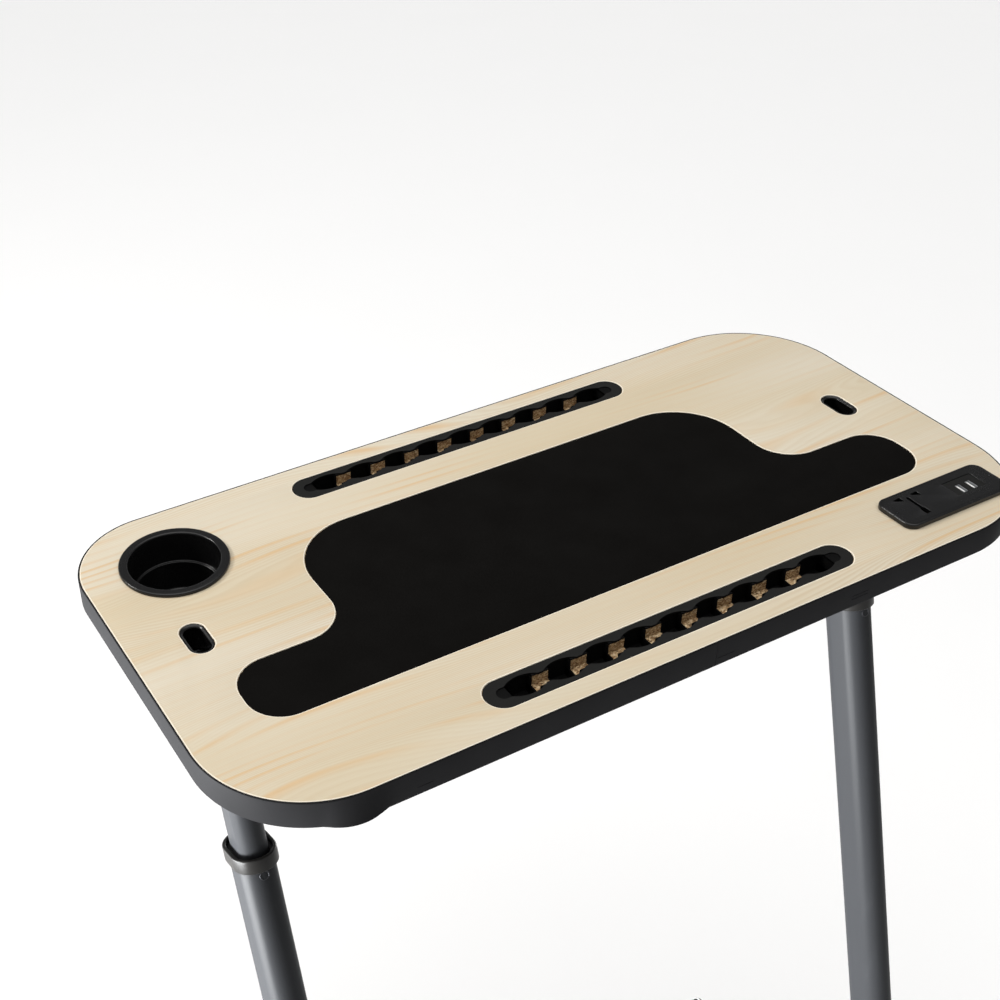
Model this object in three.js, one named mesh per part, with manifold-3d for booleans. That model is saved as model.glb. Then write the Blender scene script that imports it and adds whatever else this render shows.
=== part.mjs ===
// A tall desk: a laminated top with a mat, a cup holder, two scalloped slots and a power
// outlet, on two slanted telescopic legs with feet on casters.
// Millimetres, x along the desk, y towards the user, z up. The origin lies on the floor,
// under the centre of the whole desk.

import * as THREE from "three";
import { mergeVertices } from "three/addons/utils/BufferGeometryUtils.js";
import Module from "manifold-3d";

const wasm = await Module();
wasm.setup();

// The whole desk
const desk_height = 1120;
const top_length = 800;
const top_depth = 400;
const top_thickness = 25;
const corner_radius = 100;
const cup_corner_radius = 76;
const leg_spacing = 676;
const leg_lean_degrees = 16.3;
const leg_axis_y = 19;
const exposed_tube_length = 172;

// Clearances that every piece keeps
const side_gap = 0.3;
const seat_gap = 0.2;
const run_gap = 0.4;
const overrun = 5;
const glue_gap = 0.1;
const weld_distance = 1e-4;

// Half the facets of each arc in an outline, and the facets round a turned piece
const top_segments = 5;
const outline_segments = 3;
const small_outline_segments = 2;
const tube_segments = 3;
const turned_segments = 24;
const wheel_segments = 16;
const small_segments = 10;
const screw_segments = 8;

// The top's layers
const laminate_thickness = 0.8;
const band_thickness = 1.6;
const band_chamfer = 0.5;
const band_seam_x = 11;
const band_seam_width = 0.4;

// The mat: a wide wing near the front and a block towards the user
const mat_thickness = 2;
const mat_sunk = 0.3;
const wing_length = 679;
const wing_near_y = -102;
const wing_far_y = -30;
const wing_radius = 31;
const block_length = 452;
const block_far_y = 102.5;
const block_radius = 62;
const fillet_radius = 37;

// The two slots for a tablet and small things
const slot_y = 162.5;
const slot_plate_length = 365;
const slot_plate_width = 32;
const slot_plate_thickness = 2;
const slot_sunk = 0.3;
const slot_opening_length = 344;
const neck_width = 12.5;
const neck_length = 5;
const lobe_width = 22.5;
const lobe_pitch = 36.6;
const lobe_count = 9;
const channel_width = 13.4;
const channel_depth = 11.5;
const web_thickness = 15;
const rib_thickness = 1;
const well_wall = 1.2;
const well_width = 24;
const well_depth = 18.2;
const pocket_depth = 21;
const tip_floor_length = 10;

// The cup holder
const cup_x = -318;
const cup_y = 121;
const cup_inner_radius = 40;
const cup_flange_radius = 48;
const cup_flange_height = 3.2;
const cup_rim_radius = 1.2;
const cup_wall = 1.8;
const cup_step_depth = 26;
const cup_step_width = 2.4;
const cup_taper = 1.6;
const cup_depth = 55;

// The cable grommets over the legs
const grommet_spacing = 683;
const grommet_width = 21.4;
const grommet_length = 39.5;
const grommet_lip = 2.7;
const grommet_wall = 1.5;
const grommet_lip_depth = 3;
const grommet_sunk = 0.2;

// The power outlet
const outlet_x = 307.8;
const outlet_y = -148.2;
const faceplate_length = 122.5;
const faceplate_width = 45.5;
const faceplate_height = 5;
const faceplate_radius = 10;
const faceplate_bevel = 1.2;
const housing_length = 98;
const housing_width = 37;
const housing_depth = 42;
const housing_wall = 2;
const housing_radius = 4;
const ear_length = 8;
const ear_width = 16;
const ear_thickness = 2.2;
const outlet_screw_spacing = 112;
const outlet_screw_radius = 1.7;
const outlet_screw_head_radius = 3;
const outlet_screw_head = 1.6;
const outlet_screw_length = 18;
const cross_recess_width = 0.8;
const usb_x = 26.4;
const usb_y = 1.8;
const usb_length = 33.5;
const usb_width = 20;
const usb_depth = 14;
const usb_sunk = 0.4;
const usb_flange = 2.5;
const usb_flange_thickness = 2;
const port_pitch = 12.2;
const port_y = -3;
const port_length = 12;
const port_width = 5.6;
const port_depth = 10;
const shell_wall = 0.4;
const tongue_length = 10;
const tongue_thickness = 2;
const tongue_rise = 8.4;
const tongue_offset = -0.7;
const socket_x = -32;
const wedge_spacing = 20;
const wedge_y = 12.6;
const wedge_length = 8.6;
const wedge_height = 7;
const wedge_tip_rise = 2;
const earth_hole_width = 3.2;
const earth_hole_length = 27;
const earth_hole_y = -0.5;
const earth_end_width = 5.6;
const earth_end_length = 8;
const contact_depth = 12;
const contact_wall = 0.8;
const contact_gap = 1;
const contact_sunk = 1.5;
const contact_length = 8.6;
const contact_width = 6.4;
const inlet_length = 28;
const inlet_width = 20;
const inlet_depth = 18;
const inlet_wall = 2.2;
const inlet_flange = 3;
const inlet_flange_thickness = 2;
const inlet_pin_radius = 1.6;
const inlet_pin_length = 11;
const inlet_pin_spread = 7;
const inlet_x = 20;

// The legs' tubes, sections x by y
const inner_tube_width = 27;
const inner_tube_length = 43;
const inner_tube_wall = 1.5;
const inner_tube_run = 420;
const outer_tube_width = 34;
const outer_tube_length = 50;
const outer_tube_wall = 2;
const collar_thickness = 3.2;
const collar_height = 13.5;
const collar_rise = 4;
const collar_chamfer = 0.8;
const bush_flange_thickness = 2;
const bush_length = 60;
const guide_height = 12;
const guide_spigot = 20;
const guide_wall = 3;

// The clamp screws that hold the height
const clamp_below_collar = 5.5;
const clamp_screw_radius = 3;
const clamp_socket_radius = 1.7;
const clamp_socket_depth = 1.1;
const insert_wall = 1.6;
const insert_reach = 0.9;

// The brackets under the top
const bracket_length = 110;
const bracket_width = 90;
const bracket_thickness = 4;
const bracket_radius = 12;
const bracket_sleeve_run = 38;
const bracket_sleeve_wall = 3;
const bracket_screw_inset = 14;
const bracket_screw_radius = 2.4;
const bracket_screw_head_radius = 4.6;
const bracket_screw_head = 2.6;
const bracket_screw_length = 15;

// The feet
const caster_height = 64;
const foot_width = 50;
const foot_height = 30;
const foot_wall = 2;
const foot_tail = 79;
const foot_front_y = 100;
const foot_cap_thickness = 5;
const foot_cap_spigot = 16;
const foot_sleeve_run = 90;
const foot_sleeve_wall = 3;

// The tube between the feet and the bolts that hold it
const cross_tube_radius = 16;
const cross_tube_wall = 1.6;
const cross_plate_length = 76;
const cross_plate_width = 40;
const cross_plate_thickness = 4;
const cross_plate_radius = 8;
const frame_bolt_radius = 4;
const frame_bolt_head_radius = 7;
const frame_bolt_head = 4.6;
const frame_nut = 6.4;
const frame_bolt_pitch = 50;

// The casters
const caster_inset = 34;
const caster_trail = 22;
const wheel_radius = 25;
const wheel_width = 20;
const tread_thickness = 5;
const tread_round = 3;
const hub_radius = 8;
const web_width = 7;
const axle_radius = 4;
const axle_head_radius = 6;
const axle_head = 2.4;
const stem_radius = 5;
const stem_rise = 20;
const stem_flange_radius = 15;
const stem_flange = 4;
const rivet_radius = 4;
const rivet_head_radius = 7;
const rivet_head = 2;
const crown_radius = 16;
const crown_thickness = 3.5;
const fork_plate = 2.5;
const fork_eye_radius = 8;
const fork_gap = 1.2;
const pedal_pivot_y = 34;
const pedal_pivot_z = 52;
const pedal_pin_radius = 2;
const pedal_eye_radius = 4;
const pedal_reach = 25;
const pedal_thickness = 3.4;
const pedal_tip_rise = 4;
const pedal_shoe = 7;

// Colours and finishes
const finishes = {
  chipboard: { color: 0xa8895c, roughness: 0.95, metalness: 0 },
  maple_laminate: { color: 0xe0cfae, roughness: 0.42, metalness: 0 },
  backing_laminate: { color: 0x2a2a29, roughness: 0.6, metalness: 0 },
  edge_band: { color: 0x2e2f31, roughness: 0.45, metalness: 0 },
  mat: { color: 0x161615, roughness: 0.9, metalness: 0 },
  black_plastic: { color: 0x131313, roughness: 0.35, metalness: 0 },
  slot_plastic: { color: 0x1c1b1a, roughness: 0.5, metalness: 0 },
  brass: { color: 0xb08d4a, roughness: 0.35, metalness: 1 },
  bright_steel: { color: 0xb8babc, roughness: 0.3, metalness: 1 },
  dark_steel: { color: 0x2b2c2e, roughness: 0.4, metalness: 1 },
  grey_paint: { color: 0x4b4d50, roughness: 0.42, metalness: 0.3 },
  collar_plastic: { color: 0x221c19, roughness: 0.25, metalness: 0 },
  nylon: { color: 0x0e0e0e, roughness: 0.55, metalness: 0 },
  caster_plastic: { color: 0x3a3b3d, roughness: 0.8, metalness: 0 },
};

// Values that follow from the ones above
const lean = THREE.MathUtils.degToRad(leg_lean_degrees);
const quarter_turn = Math.PI / 2;
const half_turn = Math.PI;
const full_turn = 2 * Math.PI;
const sides = [["left", -1], ["right", 1]];
const ends = [["rear", -1], ["front", 1]];
const leg_y = leg_axis_y - top_thickness * Math.tan(lean);
const foot_top = caster_height + foot_height;
const foot_middle = caster_height + foot_height / 2;
const underside = desk_height - top_thickness;
const leg_run = (underside - foot_top) / Math.cos(lean);
const foot_leg_y = leg_y - leg_run * Math.sin(lean);
const foot_rear_y = foot_leg_y - foot_tail;
const desk_y = -(foot_rear_y + top_depth / 2) / 2;
const outer_bore_width = outer_tube_width - 2 * outer_tube_wall;
const outer_bore_length = outer_tube_length - 2 * outer_tube_wall;

// Closed solids from the shape library's geometry, and back
function to_solid(geometry) {
  const bare = geometry.clone();
  bare.deleteAttribute("normal");
  bare.deleteAttribute("uv");
  const merged = mergeVertices(bare, weld_distance);
  const vertProperties = Float32Array.from(merged.attributes.position.array);
  const triVerts = Uint32Array.from(merged.index.array);
  return new wasm.Manifold(new wasm.Mesh({ numProp: 3, vertProperties, triVerts }));
}

function to_geometry(solid) {
  const mesh = solid.getMesh();
  const geometry = new THREE.BufferGeometry();
  geometry.setAttribute("position", new THREE.BufferAttribute(mesh.vertProperties, 3));
  geometry.setIndex(new THREE.BufferAttribute(mesh.triVerts, 1));
  geometry.computeVertexNormals();
  return geometry;
}

function join(...geometries) {
  return to_geometry(geometries.map(to_solid).reduce((whole, piece) => whole.add(piece)));
}

function cut(geometry, ...cutters) {
  const whole = cutters.map(to_solid).reduce((rest, cutter) => rest.subtract(cutter), to_solid(geometry));
  return to_geometry(whole);
}

// Outlines
function obround(width, length) {
  const radius = Math.min(width, length) / 2;
  const reach = Math.abs(length - width) / 2;
  const shape = new THREE.Shape();
  if (length > width) {
    shape.absarc(0, reach, radius, 0, half_turn, false);
    shape.absarc(0, -reach, radius, half_turn, full_turn, false);
  } else {
    shape.absarc(reach, 0, radius, -quarter_turn, quarter_turn, false);
    shape.absarc(-reach, 0, radius, quarter_turn, half_turn + quarter_turn, false);
  }
  shape.closePath();
  return shape;
}

function rounded_rectangle(length, width, far_right, far_left, near_left, near_right) {
  const x = length / 2;
  const y = width / 2;
  const shape = new THREE.Shape();
  shape.absarc(x - far_right, y - far_right, far_right, 0, quarter_turn, false);
  shape.absarc(-x + far_left, y - far_left, far_left, quarter_turn, half_turn, false);
  shape.absarc(-x + near_left, -y + near_left, near_left, half_turn, half_turn + quarter_turn, false);
  shape.absarc(x - near_right, -y + near_right, near_right, -quarter_turn, 0, false);
  shape.closePath();
  return shape;
}

function even_rectangle(length, width, radius) {
  return rounded_rectangle(length, width, radius, radius, radius, radius);
}

// A small rounded rectangle as points, so that it needs few facets
function small_rectangle(length, width, radius) {
  return moved(even_rectangle(length, width, radius), 0, 0, small_outline_segments);
}

function circle(radius) {
  const shape = new THREE.Shape();
  shape.absarc(0, 0, radius, 0, full_turn, false);
  return shape;
}

// The shape's outline moved to x, y, as a hole or a shape of its own
function moved(shape, x, y, segments = outline_segments) {
  const points = shape.getPoints(segments).map((point) => new THREE.Vector2(point.x + x, point.y + y));
  return new THREE.Shape(points);
}

// A plate of the outline from one height to another
function plate(shape, low, high, segments = outline_segments) {
  const options = { depth: high - low, bevelEnabled: false, curveSegments: segments };
  return new THREE.ExtrudeGeometry(shape, options).translate(0, 0, low);
}

// A plate whose upper edge is chamfered all round
function chamfered_plate(shape, low, high, chamfer, segments = outline_segments) {
  const options = {
    depth: high - low - chamfer,
    bevelEnabled: true,
    bevelSegments: 1,
    bevelThickness: chamfer,
    bevelSize: chamfer,
    bevelOffset: -chamfer,
    curveSegments: segments,
  };
  const body = new THREE.ExtrudeGeometry(shape, options).translate(0, 0, low);
  return cut(body, block(-top_length, top_length, -top_length, top_length, low - 2 * chamfer, low));
}

function block(x_low, x_high, y_low, y_high, z_low, z_high) {
  const geometry = new THREE.BoxGeometry(x_high - x_low, y_high - y_low, z_high - z_low);
  return geometry.translate((x_low + x_high) / 2, (y_low + y_high) / 2, (z_low + z_high) / 2);
}

// A piece turned about the z axis from pairs of radius and height, listed anticlockwise
function turned(profile, segments = turned_segments) {
  const points = profile.map(([radius, height]) => new THREE.Vector2(radius, height));
  return new THREE.LatheGeometry(points, segments).rotateX(quarter_turn);
}

function rod(radius, low, high, segments = small_segments) {
  return new THREE.CylinderGeometry(radius, radius, high - low, segments)
    .rotateX(quarter_turn)
    .translate(0, 0, (low + high) / 2);
}

function mesh(name, geometry, finish) {
  const piece = new THREE.Mesh(geometry, new THREE.MeshStandardMaterial(finishes[finish]));
  piece.name = name;
  return piece;
}

function place(piece, x, y, z) {
  piece.position.set(x, y, z);
  return piece;
}

// The top's outline, drawn in from the desk's edge
function top_outline(inset) {
  const radius = corner_radius - inset;
  const cup_radius = cup_corner_radius - inset;
  const length = top_length - 2 * inset;
  return rounded_rectangle(length, top_depth - 2 * inset, radius, cup_radius, radius, radius);
}

// The mat's outline, or the outline of its recess when it grows
function mat_outline(grow) {
  const wing_x = wing_length / 2 + grow - wing_radius - grow;
  const block_x = block_length / 2 + grow;
  const far = block_far_y + grow;
  const near = wing_near_y - grow;
  const shoulder = wing_far_y + grow;
  const outer = wing_radius + grow;
  const crown = block_radius + grow;
  const hollow = fillet_radius - grow;
  const shape = new THREE.Shape();
  shape.absarc(wing_x, near + outer, outer, -quarter_turn, 0, false);
  shape.absarc(wing_x, shoulder - outer, outer, 0, quarter_turn, false);
  shape.absarc(block_x + hollow, shoulder + hollow, hollow, -quarter_turn, -half_turn, true);
  shape.absarc(block_x - crown, far - crown, crown, 0, quarter_turn, false);
  shape.absarc(-block_x + crown, far - crown, crown, quarter_turn, half_turn, false);
  shape.absarc(-block_x - hollow, shoulder + hollow, hollow, 0, -quarter_turn, true);
  shape.absarc(-wing_x, shoulder - outer, outer, quarter_turn, half_turn, false);
  shape.absarc(-wing_x, near + outer, outer, half_turn, half_turn + quarter_turn, false);
  shape.closePath();
  return shape;
}

// The scalloped opening of a slot: a row of lobes with a short neck between each pair and a
// narrow tip at each end
function slot_opening() {
  const rise = (lobe_width - neck_width) / 2;
  const chord = (lobe_pitch - neck_length) / 2;
  const radius = (chord * chord + rise * rise) / (2 * rise);
  const spread = Math.asin(chord / radius);
  const centre = lobe_width / 2 - radius;
  const tip = neck_width / 2;
  const tip_x = slot_opening_length / 2 - tip;
  const shape = new THREE.Shape();
  shape.absarc(-tip_x, 0, tip, quarter_turn, half_turn + quarter_turn, false);
  for (const x of lobe_places()) {
    shape.absarc(x, -centre, radius, -quarter_turn - spread, -quarter_turn + spread, false);
  }
  shape.absarc(tip_x, 0, tip, -quarter_turn, quarter_turn, false);
  for (const x of lobe_places().reverse()) {
    shape.absarc(x, centre, radius, quarter_turn - spread, quarter_turn + spread, false);
  }
  shape.closePath();
  return shape;
}

function lobe_places() {
  return Array.from({ length: lobe_count }, (_, i) => (i - (lobe_count - 1) / 2) * lobe_pitch);
}

function neck_places() {
  return lobe_places().slice(0, -1).map((x) => x + lobe_pitch / 2);
}

// The start and the stop of each pocket between the chipboard webs under a slot
function pockets() {
  const starts = [-channel_end, ...neck_places().map((x) => x + web_thickness / 2)];
  const stops = [...neck_places().map((x) => x - web_thickness / 2), channel_end];
  return starts.map((start, i) => [start, stops[i]]);
}

// The top: core, laminates, edge band and mat, with z = 0 at the upper face
const slot_seat = slot_sunk + slot_plate_thickness + seat_gap;
const mat_seat = mat_sunk + mat_thickness + seat_gap;
const well_outer_width = well_width + 2 * well_wall;
const channel_end = slot_opening_length / 2 - tip_floor_length;
const screw_reach = outlet_screw_spacing / 2;
const outlet_cut_length = housing_length + 2 * side_gap;
const outlet_cut_width = housing_width + 2 * side_gap;
const ear_cut_length = outlet_screw_spacing + ear_length + 2 * side_gap;
const ear_cut_width = ear_width + 2 * side_gap;

function through_holes() {
  const cup_hole = moved(circle(cup_inner_radius + cup_wall + side_gap), cup_x, cup_y, turned_segments / 2);
  const outlet_outline = small_rectangle(outlet_cut_length, outlet_cut_width, housing_radius);
  const outlet_cut = moved(outlet_outline, outlet_x, outlet_y);
  const grommet_outline = obround(grommet_width + 2 * side_gap, grommet_length + 2 * side_gap);
  const grommets = sides.map(([, side]) => moved(grommet_outline, side * grommet_spacing / 2, leg_axis_y));
  return [cup_hole, outlet_cut, ...grommets];
}

function slot_cut() {
  return obround(slot_plate_length + 2 * side_gap, slot_plate_width + 2 * side_gap);
}

function ear_cut_outline() {
  return small_rectangle(ear_cut_length, ear_cut_width, housing_radius);
}

function board_core() {
  const outline = top_outline(band_thickness + side_gap);
  outline.holes.push(...through_holes());
  const low = laminate_thickness + glue_gap - top_thickness;
  const body = plate(outline, low, -laminate_thickness - glue_gap, top_segments);
  const cutters = [
    plate(mat_outline(side_gap), -mat_seat, overrun),
    plate(ear_cut_outline(), -ear_thickness - 2 * seat_gap, overrun).translate(outlet_x, outlet_y, 0),
    ...outlet_screw_holes(outlet_x, outlet_y),
  ];
  for (const y of [slot_y, -slot_y]) {
    cutters.push(plate(slot_cut(), -slot_seat, overrun).translate(0, y, 0));
    cutters.push(channel(channel_end).translate(0, y, 0));
    for (const [start, stop] of pockets()) {
      const reach = well_outer_width / 2 + side_gap;
      cutters.push(block(start, stop, y - reach, y + reach, -pocket_depth, overrun));
    }
  }
  return mesh("board_core", cut(body, ...cutters), "chipboard");
}

function top_laminate() {
  const outline = top_outline(band_thickness + side_gap);
  const outlet_cut = plate(ear_cut_outline(), -top_thickness, overrun).translate(outlet_x, outlet_y, 0);
  const slots = [slot_y, -slot_y].map((y) => moved(slot_cut(), 0, y));
  outline.holes.push(...through_holes(), ...slots, moved(mat_outline(side_gap), 0, 0));
  const sheet = plate(outline, -laminate_thickness, 0, top_segments);
  return mesh("top_laminate", cut(sheet, outlet_cut), "maple_laminate");
}

function bottom_laminate() {
  const outline = top_outline(band_thickness + side_gap);
  outline.holes.push(...through_holes());
  const sheet = plate(outline, -top_thickness, laminate_thickness - top_thickness, top_segments);
  return mesh("bottom_laminate", sheet, "backing_laminate");
}

function edge_band() {
  const low = -top_thickness - overrun;
  const outer = chamfered_plate(top_outline(0), -top_thickness, 0, band_chamfer, top_segments);
  const inner = plate(top_outline(band_thickness), low, overrun, top_segments);
  const seam_left = band_seam_x - band_seam_width / 2;
  const seam = block(seam_left, seam_left + band_seam_width, -top_depth, 0, low, overrun);
  return mesh("edge_band", cut(outer, inner, seam), "edge_band");
}

function desk_mat() {
  return mesh("desk_mat", plate(mat_outline(0), -mat_sunk - mat_thickness, -mat_sunk), "mat");
}

// The straight channel over the webs, where a tablet's edge stands
function channel(end) {
  return block(-end, end, -channel_width / 2, channel_width / 2, -channel_depth, overrun);
}

// A slot's insert: the scalloped plate, two ribs over each web, an open well in each pocket and a
// floor under each narrow tip
function slot_insert(name, y) {
  const outline = obround(slot_plate_length, slot_plate_width);
  outline.holes.push(moved(slot_opening(), 0, 0));
  const top = -slot_sunk;
  const low = top - slot_plate_thickness;
  const pieces = [plate(outline, low, top)];
  for (const x of neck_places()) {
    const reach = web_thickness / 2 + side_gap + well_wall;
    const near = channel_width / 2;
    const far = lobe_width / 2;
    pieces.push(block(x - reach, x + reach, near, far, low, low + rib_thickness));
    pieces.push(block(x - reach, x + reach, -far, -near, low, low + rib_thickness));
  }
  for (const [start, stop] of pockets()) {
    pieces.push(well(start + side_gap, stop - side_gap, low));
  }
  const end = channel_end - side_gap - well_wall;
  const tip = slot_opening_length / 2 + well_wall;
  const half = neck_width / 2 + well_wall;
  pieces.push(block(end, tip, -half, half, low, low + rib_thickness));
  pieces.push(block(-tip, -end, -half, half, low, low + rib_thickness));
  return place(mesh(name, join(...pieces), "slot_plastic"), 0, y, 0);
}

// One well: a box with no lid, notched where the channel crosses it
function well(start, stop, low) {
  const outer = well_outer_width / 2;
  const inner = well_width / 2;
  const floor = low - well_depth;
  const body = block(start, stop, -outer, outer, floor, low + rib_thickness);
  const hollow = block(start + well_wall, stop - well_wall, -inner, inner, floor + well_wall, overrun);
  return cut(body, hollow, channel(channel_end - side_gap - well_wall));
}

// The cup holder: a rounded flange on a tapered cup with a step
function cup_holder() {
  const inner = cup_inner_radius;
  const outer = cup_inner_radius + cup_wall;
  const top = cup_flange_height;
  const step_inner = inner - cup_taper;
  const well_inner = step_inner - cup_step_width;
  const well_outer = well_inner + cup_wall;
  const profile = [
    [0, -cup_depth - cup_wall],
    [well_outer - cup_rim_radius, -cup_depth - cup_wall],
    [well_outer, -cup_depth],
    [well_outer, -cup_step_depth - cup_wall],
    [outer - cup_taper, -cup_step_depth - cup_wall],
    [outer, seat_gap],
    [cup_flange_radius, seat_gap],
    [cup_flange_radius, top - cup_rim_radius],
    [cup_flange_radius - cup_rim_radius, top],
    [inner + cup_rim_radius, top],
    [inner, top - cup_rim_radius],
    [step_inner, -cup_step_depth],
    [well_inner, -cup_step_depth],
    [well_inner, -cup_depth],
    [0, -cup_depth],
  ];
  return place(mesh("cup_holder", turned(profile, turned_segments), "black_plastic"), cup_x, cup_y, 0);
}

function cable_grommet(name, side) {
  const outline = obround(grommet_width, grommet_length);
  const top = -grommet_sunk;
  const lip_hole = obround(grommet_width - 2 * grommet_lip, grommet_length - 2 * grommet_lip);
  const bore = obround(grommet_width - 2 * grommet_wall, grommet_length - 2 * grommet_wall);
  const body = plate(outline, -top_thickness, top);
  const through = plate(lip_hole, -top_thickness - overrun, overrun);
  const relief = plate(bore, -top_thickness - overrun, top - grommet_lip_depth);
  const grommet = mesh(name, cut(body, through, relief), "black_plastic");
  return place(grommet, side * grommet_spacing / 2, leg_axis_y, 0);
}

// The power outlet, about its own centre, with z = 0 at the top's upper face.
// Its socket takes several plugs: two wedge-shaped openings beside a long earth slot.
function wedge_opening(x, low, high) {
  const half = wedge_length / 2;
  const shape = new THREE.Shape();
  shape.moveTo(x - half, wedge_y + wedge_tip_rise);
  shape.lineTo(x + half, wedge_y - wedge_height / 2);
  shape.lineTo(x + half, wedge_y + wedge_height / 2);
  shape.closePath();
  return plate(shape, low, high);
}

function earth_opening(low, high) {
  const half = earth_hole_width / 2;
  const half_end = earth_end_width / 2;
  const far = earth_hole_y + earth_hole_length / 2;
  const near = earth_hole_y - earth_hole_length / 2;
  const slot = block(socket_x - half, socket_x + half, near, far, low, high);
  const end = block(socket_x - half_end, socket_x + half_end, near, near + earth_end_length, low, high);
  return join(slot, end);
}

function wedge_places() {
  return sides.map(([, side]) => socket_x + side * wedge_spacing / 2);
}

function socket_openings(low, high) {
  return [...wedge_places().map((x) => wedge_opening(x, low, high)), earth_opening(low, high)];
}

// The room inside a contact, one for each opening, or its outside when it grows
function contact_blocks(low, high, grow) {
  const half_length = contact_length / 2 + grow;
  const half_width = contact_width / 2 + grow;
  const pins = wedge_places().map((x) =>
    block(x - half_length, x + half_length, wedge_y - half_width, wedge_y + half_width, low, high));
  const half_earth = earth_end_width / 2 + grow;
  const half_earth_length = earth_hole_length / 2 + grow;
  const earth = block(socket_x - half_earth, socket_x + half_earth, earth_hole_y - half_earth_length,
    earth_hole_y + half_earth_length, low, high);
  return [pins[0], pins[1], earth];
}

function outlet_screw_holes(x, y) {
  const hole = rod(outlet_screw_radius + side_gap, -outlet_screw_length, overrun, screw_segments);
  return sides.map(([, side]) => hole.clone().translate(x + side * screw_reach, y, 0));
}

function power_faceplate() {
  const low = seat_gap;
  const high = faceplate_height;
  const outline = even_rectangle(faceplate_length, faceplate_width, faceplate_radius);
  const body = chamfered_plate(outline, low, high, faceplate_bevel);
  const half_length = usb_length / 2 + side_gap;
  const half_width = usb_width / 2 + side_gap;
  const window = block(usb_x - half_length, usb_x + half_length, usb_y - half_width, usb_y + half_width,
    -overrun, 2 * overrun);
  const screw_holes = sides.map(([, side]) => {
    const x = side * screw_reach;
    const shaft = rod(outlet_screw_radius + side_gap, -overrun, 2 * overrun, screw_segments);
    const sink = rod(outlet_screw_head_radius + side_gap, high - outlet_screw_head - seat_gap, 2 * overrun);
    return join(shaft, sink).translate(x, 0, 0);
  });
  const openings = socket_openings(-overrun, 2 * overrun);
  return mesh("power_faceplate", cut(body, window, ...screw_holes, ...openings), "black_plastic");
}

function power_housing() {
  const low = -housing_depth;
  const high = -seat_gap;
  const inside_length = housing_length - 2 * housing_wall;
  const inside_width = housing_width - 2 * housing_wall;
  const tub = plate(small_rectangle(housing_length, housing_width, housing_radius), low, high);
  const ears = plate(small_rectangle(outlet_screw_spacing + ear_length, ear_width, housing_radius),
    high - ear_thickness, high);
  const inside_outline = small_rectangle(inside_length, inside_width, housing_wall);
  const hollow = plate(inside_outline, low + housing_wall, overrun);
  const inlet_half_length = inlet_length / 2 + side_gap;
  const inlet_half_width = inlet_width / 2 + side_gap;
  const inlet_hole = block(inlet_x - inlet_half_length, inlet_x + inlet_half_length, -inlet_half_width,
    inlet_half_width, low - overrun, low + housing_wall + overrun);
  const body = cut(join(tub, ears), hollow, inlet_hole, ...outlet_screw_holes(0, 0));
  const boss_low = -contact_depth - contact_sunk - housing_wall;
  const boss_right = socket_x + wedge_spacing / 2 + contact_length / 2 + contact_wall + contact_gap;
  const boss_half_y = inside_width / 2 + housing_wall / 2;
  const boss_left = -inside_length / 2 - housing_wall / 2;
  const boss = block(boss_left, boss_right, -boss_half_y, boss_half_y, boss_low, high);
  const wells = contact_blocks(boss_low + housing_wall, overrun, contact_wall + side_gap);
  return mesh("power_housing", cut(join(body, boss), ...wells), "black_plastic");
}

// The brass contacts that line the socket's wells
function socket_contacts() {
  const low = -contact_depth - contact_sunk + seat_gap;
  const high = -contact_sunk;
  const outer = contact_blocks(low, high, contact_wall);
  const inner = contact_blocks(low - overrun, high + overrun, 0);
  const names = ["socket_contact_left", "socket_contact_right", "socket_contact_earth"];
  return names.map((name, i) => mesh(name, cut(outer[i], inner[i]), "brass"));
}

function port_block(half_length, half_width, low, high, x) {
  const y = usb_y + port_y;
  return block(x - half_width, x + half_width, y - half_length, y + half_length, low, high);
}

function port_places() {
  return sides.map(([, side]) => usb_x + side * port_pitch / 2);
}

function usb_module() {
  const top = faceplate_height - usb_sunk;
  const x = usb_x;
  const body = block(x - usb_length / 2, x + usb_length / 2, usb_y - usb_width / 2, usb_y + usb_width / 2,
    top - usb_depth, top);
  const half_length = usb_length / 2 + usb_flange;
  const half_width = housing_width / 2 - housing_wall - side_gap;
  const flange_low = -usb_flange_thickness - seat_gap;
  const flange = block(x - half_length, x + half_length, -half_width, half_width, flange_low, -seat_gap);
  const ports = port_places().map((port) =>
    port_block(port_length / 2, port_width / 2, top - port_depth, top + overrun, port));
  return mesh("usb_module", cut(join(body, flange), ...ports), "slot_plastic");
}

// A port: a sheet metal shell round a tongue that stands on its back wall
function usb_port(name, x) {
  const top = faceplate_height - usb_sunk - seat_gap;
  const low = top - port_depth + 2 * seat_gap;
  const floor = low + 2 * shell_wall;
  const half_length = port_length / 2 - side_gap;
  const half_width = port_width / 2 - side_gap;
  const outer = port_block(half_length, half_width, low, top, x);
  const inner = port_block(half_length - shell_wall, half_width - shell_wall, floor, top + overrun, x);
  const tongue_x = x + tongue_offset;
  const tongue = port_block(tongue_length / 2, tongue_thickness / 2, low, low + tongue_rise, tongue_x);
  return mesh(name, join(cut(outer, inner), tongue), "bright_steel");
}

function power_screw(name, side) {
  const top = faceplate_height;
  const shank = rod(outlet_screw_radius, top - outlet_screw_length, top, screw_segments);
  const head = rod(outlet_screw_head_radius, top - outlet_screw_head, top);
  const half = cross_recess_width / 2;
  const reach = outlet_screw_head_radius - cross_recess_width;
  const low = top - cross_recess_width;
  const cross = [
    block(-half, half, -reach, reach, low, top + overrun),
    block(-reach, reach, -half, half, low, top + overrun),
  ];
  return place(mesh(name, cut(join(shank, head), ...cross), "bright_steel"), side * screw_reach, 0, 0);
}

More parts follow.
